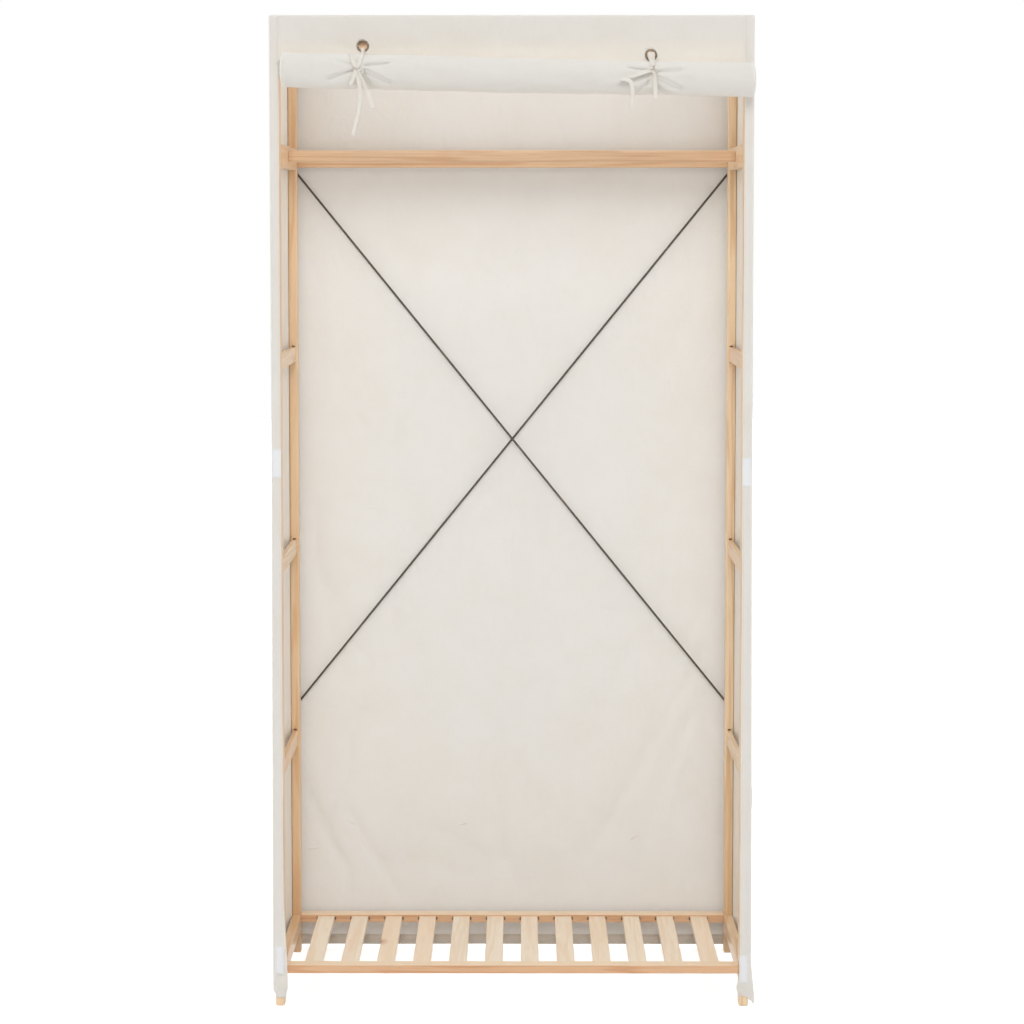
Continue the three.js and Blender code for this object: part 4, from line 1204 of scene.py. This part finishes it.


# One canvas in three tints: the back panel's is painted darker and greyer as painted shade, and the
# flap's a little lighter as painted light.
COVER_CANVAS = canvas("cover_canvas", srgb(248, 241, 231), srgb(245, 237, 226))
BACK_CANVAS = canvas("back_canvas", srgb(238, 236, 232), srgb(236, 233, 227), hem=BACK_FLOOR + HEM,
                     puckers=[(-0.092, 0.233, 0.011, 12), (0.226, 0.208, 0.012, 30),
                              (-0.300, 0.236, 0.012, -30), (-0.372, 0.188, 0.013, 5)])
FLAP_CANVAS = canvas("flap_canvas", srgb(249, 243, 232), srgb(246, 239, 227))
TAPE = cotton_tape()
THREAD = sewing_thread()
EYELET = eyelet_metal()
HOOK = hook_tape()
STEEL = rod_steel()
PINE_UPRIGHT = pine("pine_upright", "z", ((0.3, 0.2, 9), (0.15, 0.1, 0)))
PINE_ACROSS = pine("pine_across", "x", ((9, 0.16, 0.3), (4.5, 0.08, 0.1)),
                   light=(225, 189, 150), dark=(205, 158, 114))
# The shelf rails' upper faces are painted paler: painted light from above.
PINE_SHELF = pine("pine_shelf_rails", "x", ((9, 0.16, 0.3), (4.5, 0.08, 0.1)),
                  light=(225, 179, 137), dark=(205, 150, 104), painted_light_above=high("shelf_front_rail").z)
PINE_DEEP = pine("pine_deep", "y", ((0.3, 9, 0.3), (0.15, 4.5, 0.1)))
SLAT_PITCH = low("shelf_slat_02").x - low("shelf_slat_01").x
# The slats are painted paler than the other pine: painted light from above.
PINE_SLAT = pine("pine_slat", "y", ((SLAT_PITCH, 9, 9), (0, 4.5, 4.5)), light=(252, 238, 216),
                 dark=(244, 221, 190), ruddy=0.6)


def finish_piece(piece, material):
    piece.data.materials.clear()
    piece.data.materials.append(material)


def dress(node, material):
    """Gives a CAD solid its finish, without touching its mesh."""
    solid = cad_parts[node]
    if not solid.material_slots:
        solid.data.materials.append(material)
    for place in solid.material_slots:
        place.link = "OBJECT"
        place.material = material


# By how the names of the solids start
SOLID_FINISHES = {
    "post": PINE_UPRIGHT, "side_r": PINE_DEEP, "shelf_slat": PINE_SLAT, "brace": STEEL,
    "shelf_front_rail": PINE_SHELF, "shelf_back_rail": PINE_SHELF, "top_front_rail": PINE_ACROSS,
    "top_back_rail": PINE_ACROSS, "back_rail": PINE_ACROSS, "hanging_rail": PINE_ACROSS,
}
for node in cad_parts:
    for start, material in SOLID_FINISHES.items():
        if node.startswith(start):
            dress(node, material)

# What each piece is made of, rides on and stands for
finish_piece(back_piece, BACK_CANVAS)
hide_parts("cover_back")
for side, piece in side_pieces.items():
    finish_piece(piece, COVER_CANVAS)
    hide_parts(f"cover_side_{side}", f"front_strip_{side}")
finish_piece(valance_piece, COVER_CANVAS)
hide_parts("cover_valance")
finish_piece(top_piece, COVER_CANVAS)
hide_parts("cover_top")
for piece in (back_piece, *side_pieces.values(), valance_piece, top_piece):
    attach(piece, "root")

finish_piece(sheet_piece, FLAP_CANVAS)
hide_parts("flap_sheet")
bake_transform(sheet_piece)

finish_piece(roll_piece, FLAP_CANVAS)
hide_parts("flap_roll")
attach(roll_piece, "flap")

for side, piece in eyelet_pieces.items():
    finish_piece(piece, EYELET)
    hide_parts(f"eyelet_{side}")
    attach(piece, "root")
for node, piece in patch_pieces.items():
    finish_piece(piece, HOOK)
    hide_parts(node)
    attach(piece, "root")
for piece, slot in ((stitch_piece, "canvas"), (patch_thread, "hook_tape")):
    finish_piece(piece, THREAD)
    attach(piece, "root")
for piece in TIE_PIECES:
    finish_piece(piece, TAPE)
    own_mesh(piece)


# Floor, lamps and surroundings
def seen_white(nodes, lit, white):
    """Joins two shaders: lit for the light on the object, white for what is seen directly, in
    gloss or through glass."""
    rays = nodes.node("LightPath").outputs
    seen = rays["Is Camera Ray"]
    for name in ("Is Glossy Ray", "Is Transmission Ray"):
        seen = nodes.node("Math", {"operation": "MAXIMUM"}, _0=seen, _1=rays[name]).outputs[0]
    return nodes.node("MixShader", _0=seen, _1=lit, _2=white).outputs[0]


def set_world():
    world = bpy.data.worlds.new("studio")
    bpy.context.scene.world = world
    nodes = Nodes(world)
    # The light is stronger from above.
    way = nodes.node("SeparateXYZ", Vector=nodes.node("TexCoord").outputs["Generated"])
    sky = nodes.node("MapRange", Value=way.outputs[2], To_Min=0.36, To_Max=1).outputs[0]
    ambient = nodes.tree.nodes["Background"]
    nodes.give(ambient, {"Color": (0.98, 0.99, 1, 1), "Strength": sky})
    white = nodes.node("Background", Color=(1, 1, 1, 1), Strength=1)
    both = seen_white(nodes, ambient.outputs[0], white.outputs[0])
    nodes.give(nodes.tree.nodes["World Output"], {"Surface": both})


def lay_floor():
    bpy.ops.object.select_all(action="DESELECT")
    bpy.ops.mesh.primitive_plane_add(size=30, location=(0, 0, -0.0005))
    floor = bpy.context.object
    floor.name = "studio_floor"
    material = bpy.data.materials.new("studio_floor")
    nodes = Nodes(material)
    nodes.tree.nodes.remove(nodes.tree.nodes["Principled BSDF"])
    matt = nodes.node("BsdfDiffuse", Color=(0.85, 0.85, 0.85, 1)).outputs[0]
    glow = nodes.node("Emission", Strength=0.7).outputs[0]
    pale = nodes.node("AddShader", _0=matt, _1=glow).outputs[0]
    nodes.give(nodes.tree.nodes["Material Output"], {"Surface": seen_white(nodes, matt, pale)})
    floor.data.materials.append(material)


def add_lamp(name, place, aim, size, power, colour=(1, 1, 1), seen=True):
    """A rectangular lamp, turned to the point aim. Its power is in watts."""
    lamp = bpy.data.lights.new(name, "AREA")
    lamp.shape = "RECTANGLE"
    lamp.size, lamp.size_y = size
    lamp.energy = power
    lamp.color = colour
    holder = bpy.data.objects.new(name, lamp)
    holder.location = place
    holder.rotation_euler = (Vector(aim) - Vector(place)).to_track_quat("-Z", "Y").to_euler()
    holder.visible_camera = seen
    bpy.context.scene.collection.objects.link(holder)


set_world()
lay_floor()
add_lamp("front_lamp", (0, -5, 3.6), (0, 0, 0.95), (1.4, 2.2), 84)
add_lamp("left_back_lamp", (-4.3, 2.2, 2.6), (0, 0, 0.85), (1.2, 1.2), 62)
add_lamp("right_back_lamp", (4.5, 1.2, 2.4), (0, 0, 0.85), (1.2, 1.2), 34)
# Three lamps inside, out of the camera's sight, for the light that the real canvas lets through
INSIDE_Y = 0.03
INSIDE_Z = 0.87
add_lamp("light_through_top", (0, INSIDE_Y, 1.685), (0, INSIDE_Y, 0), (0.7, 0.3), 0.72,
         (0.9, 0.96, 1), False)
for name, x in (("light_through_left", -0.385), ("light_through_right", 0.385)):
    add_lamp(name, (x, INSIDE_Y, INSIDE_Z), (0, INSIDE_Y, INSIDE_Z), (0.3, 1.6), 0.27,
             (0.96, 0.98, 1), False)

settings = bpy.context.scene.view_settings
settings.view_transform = "Standard"
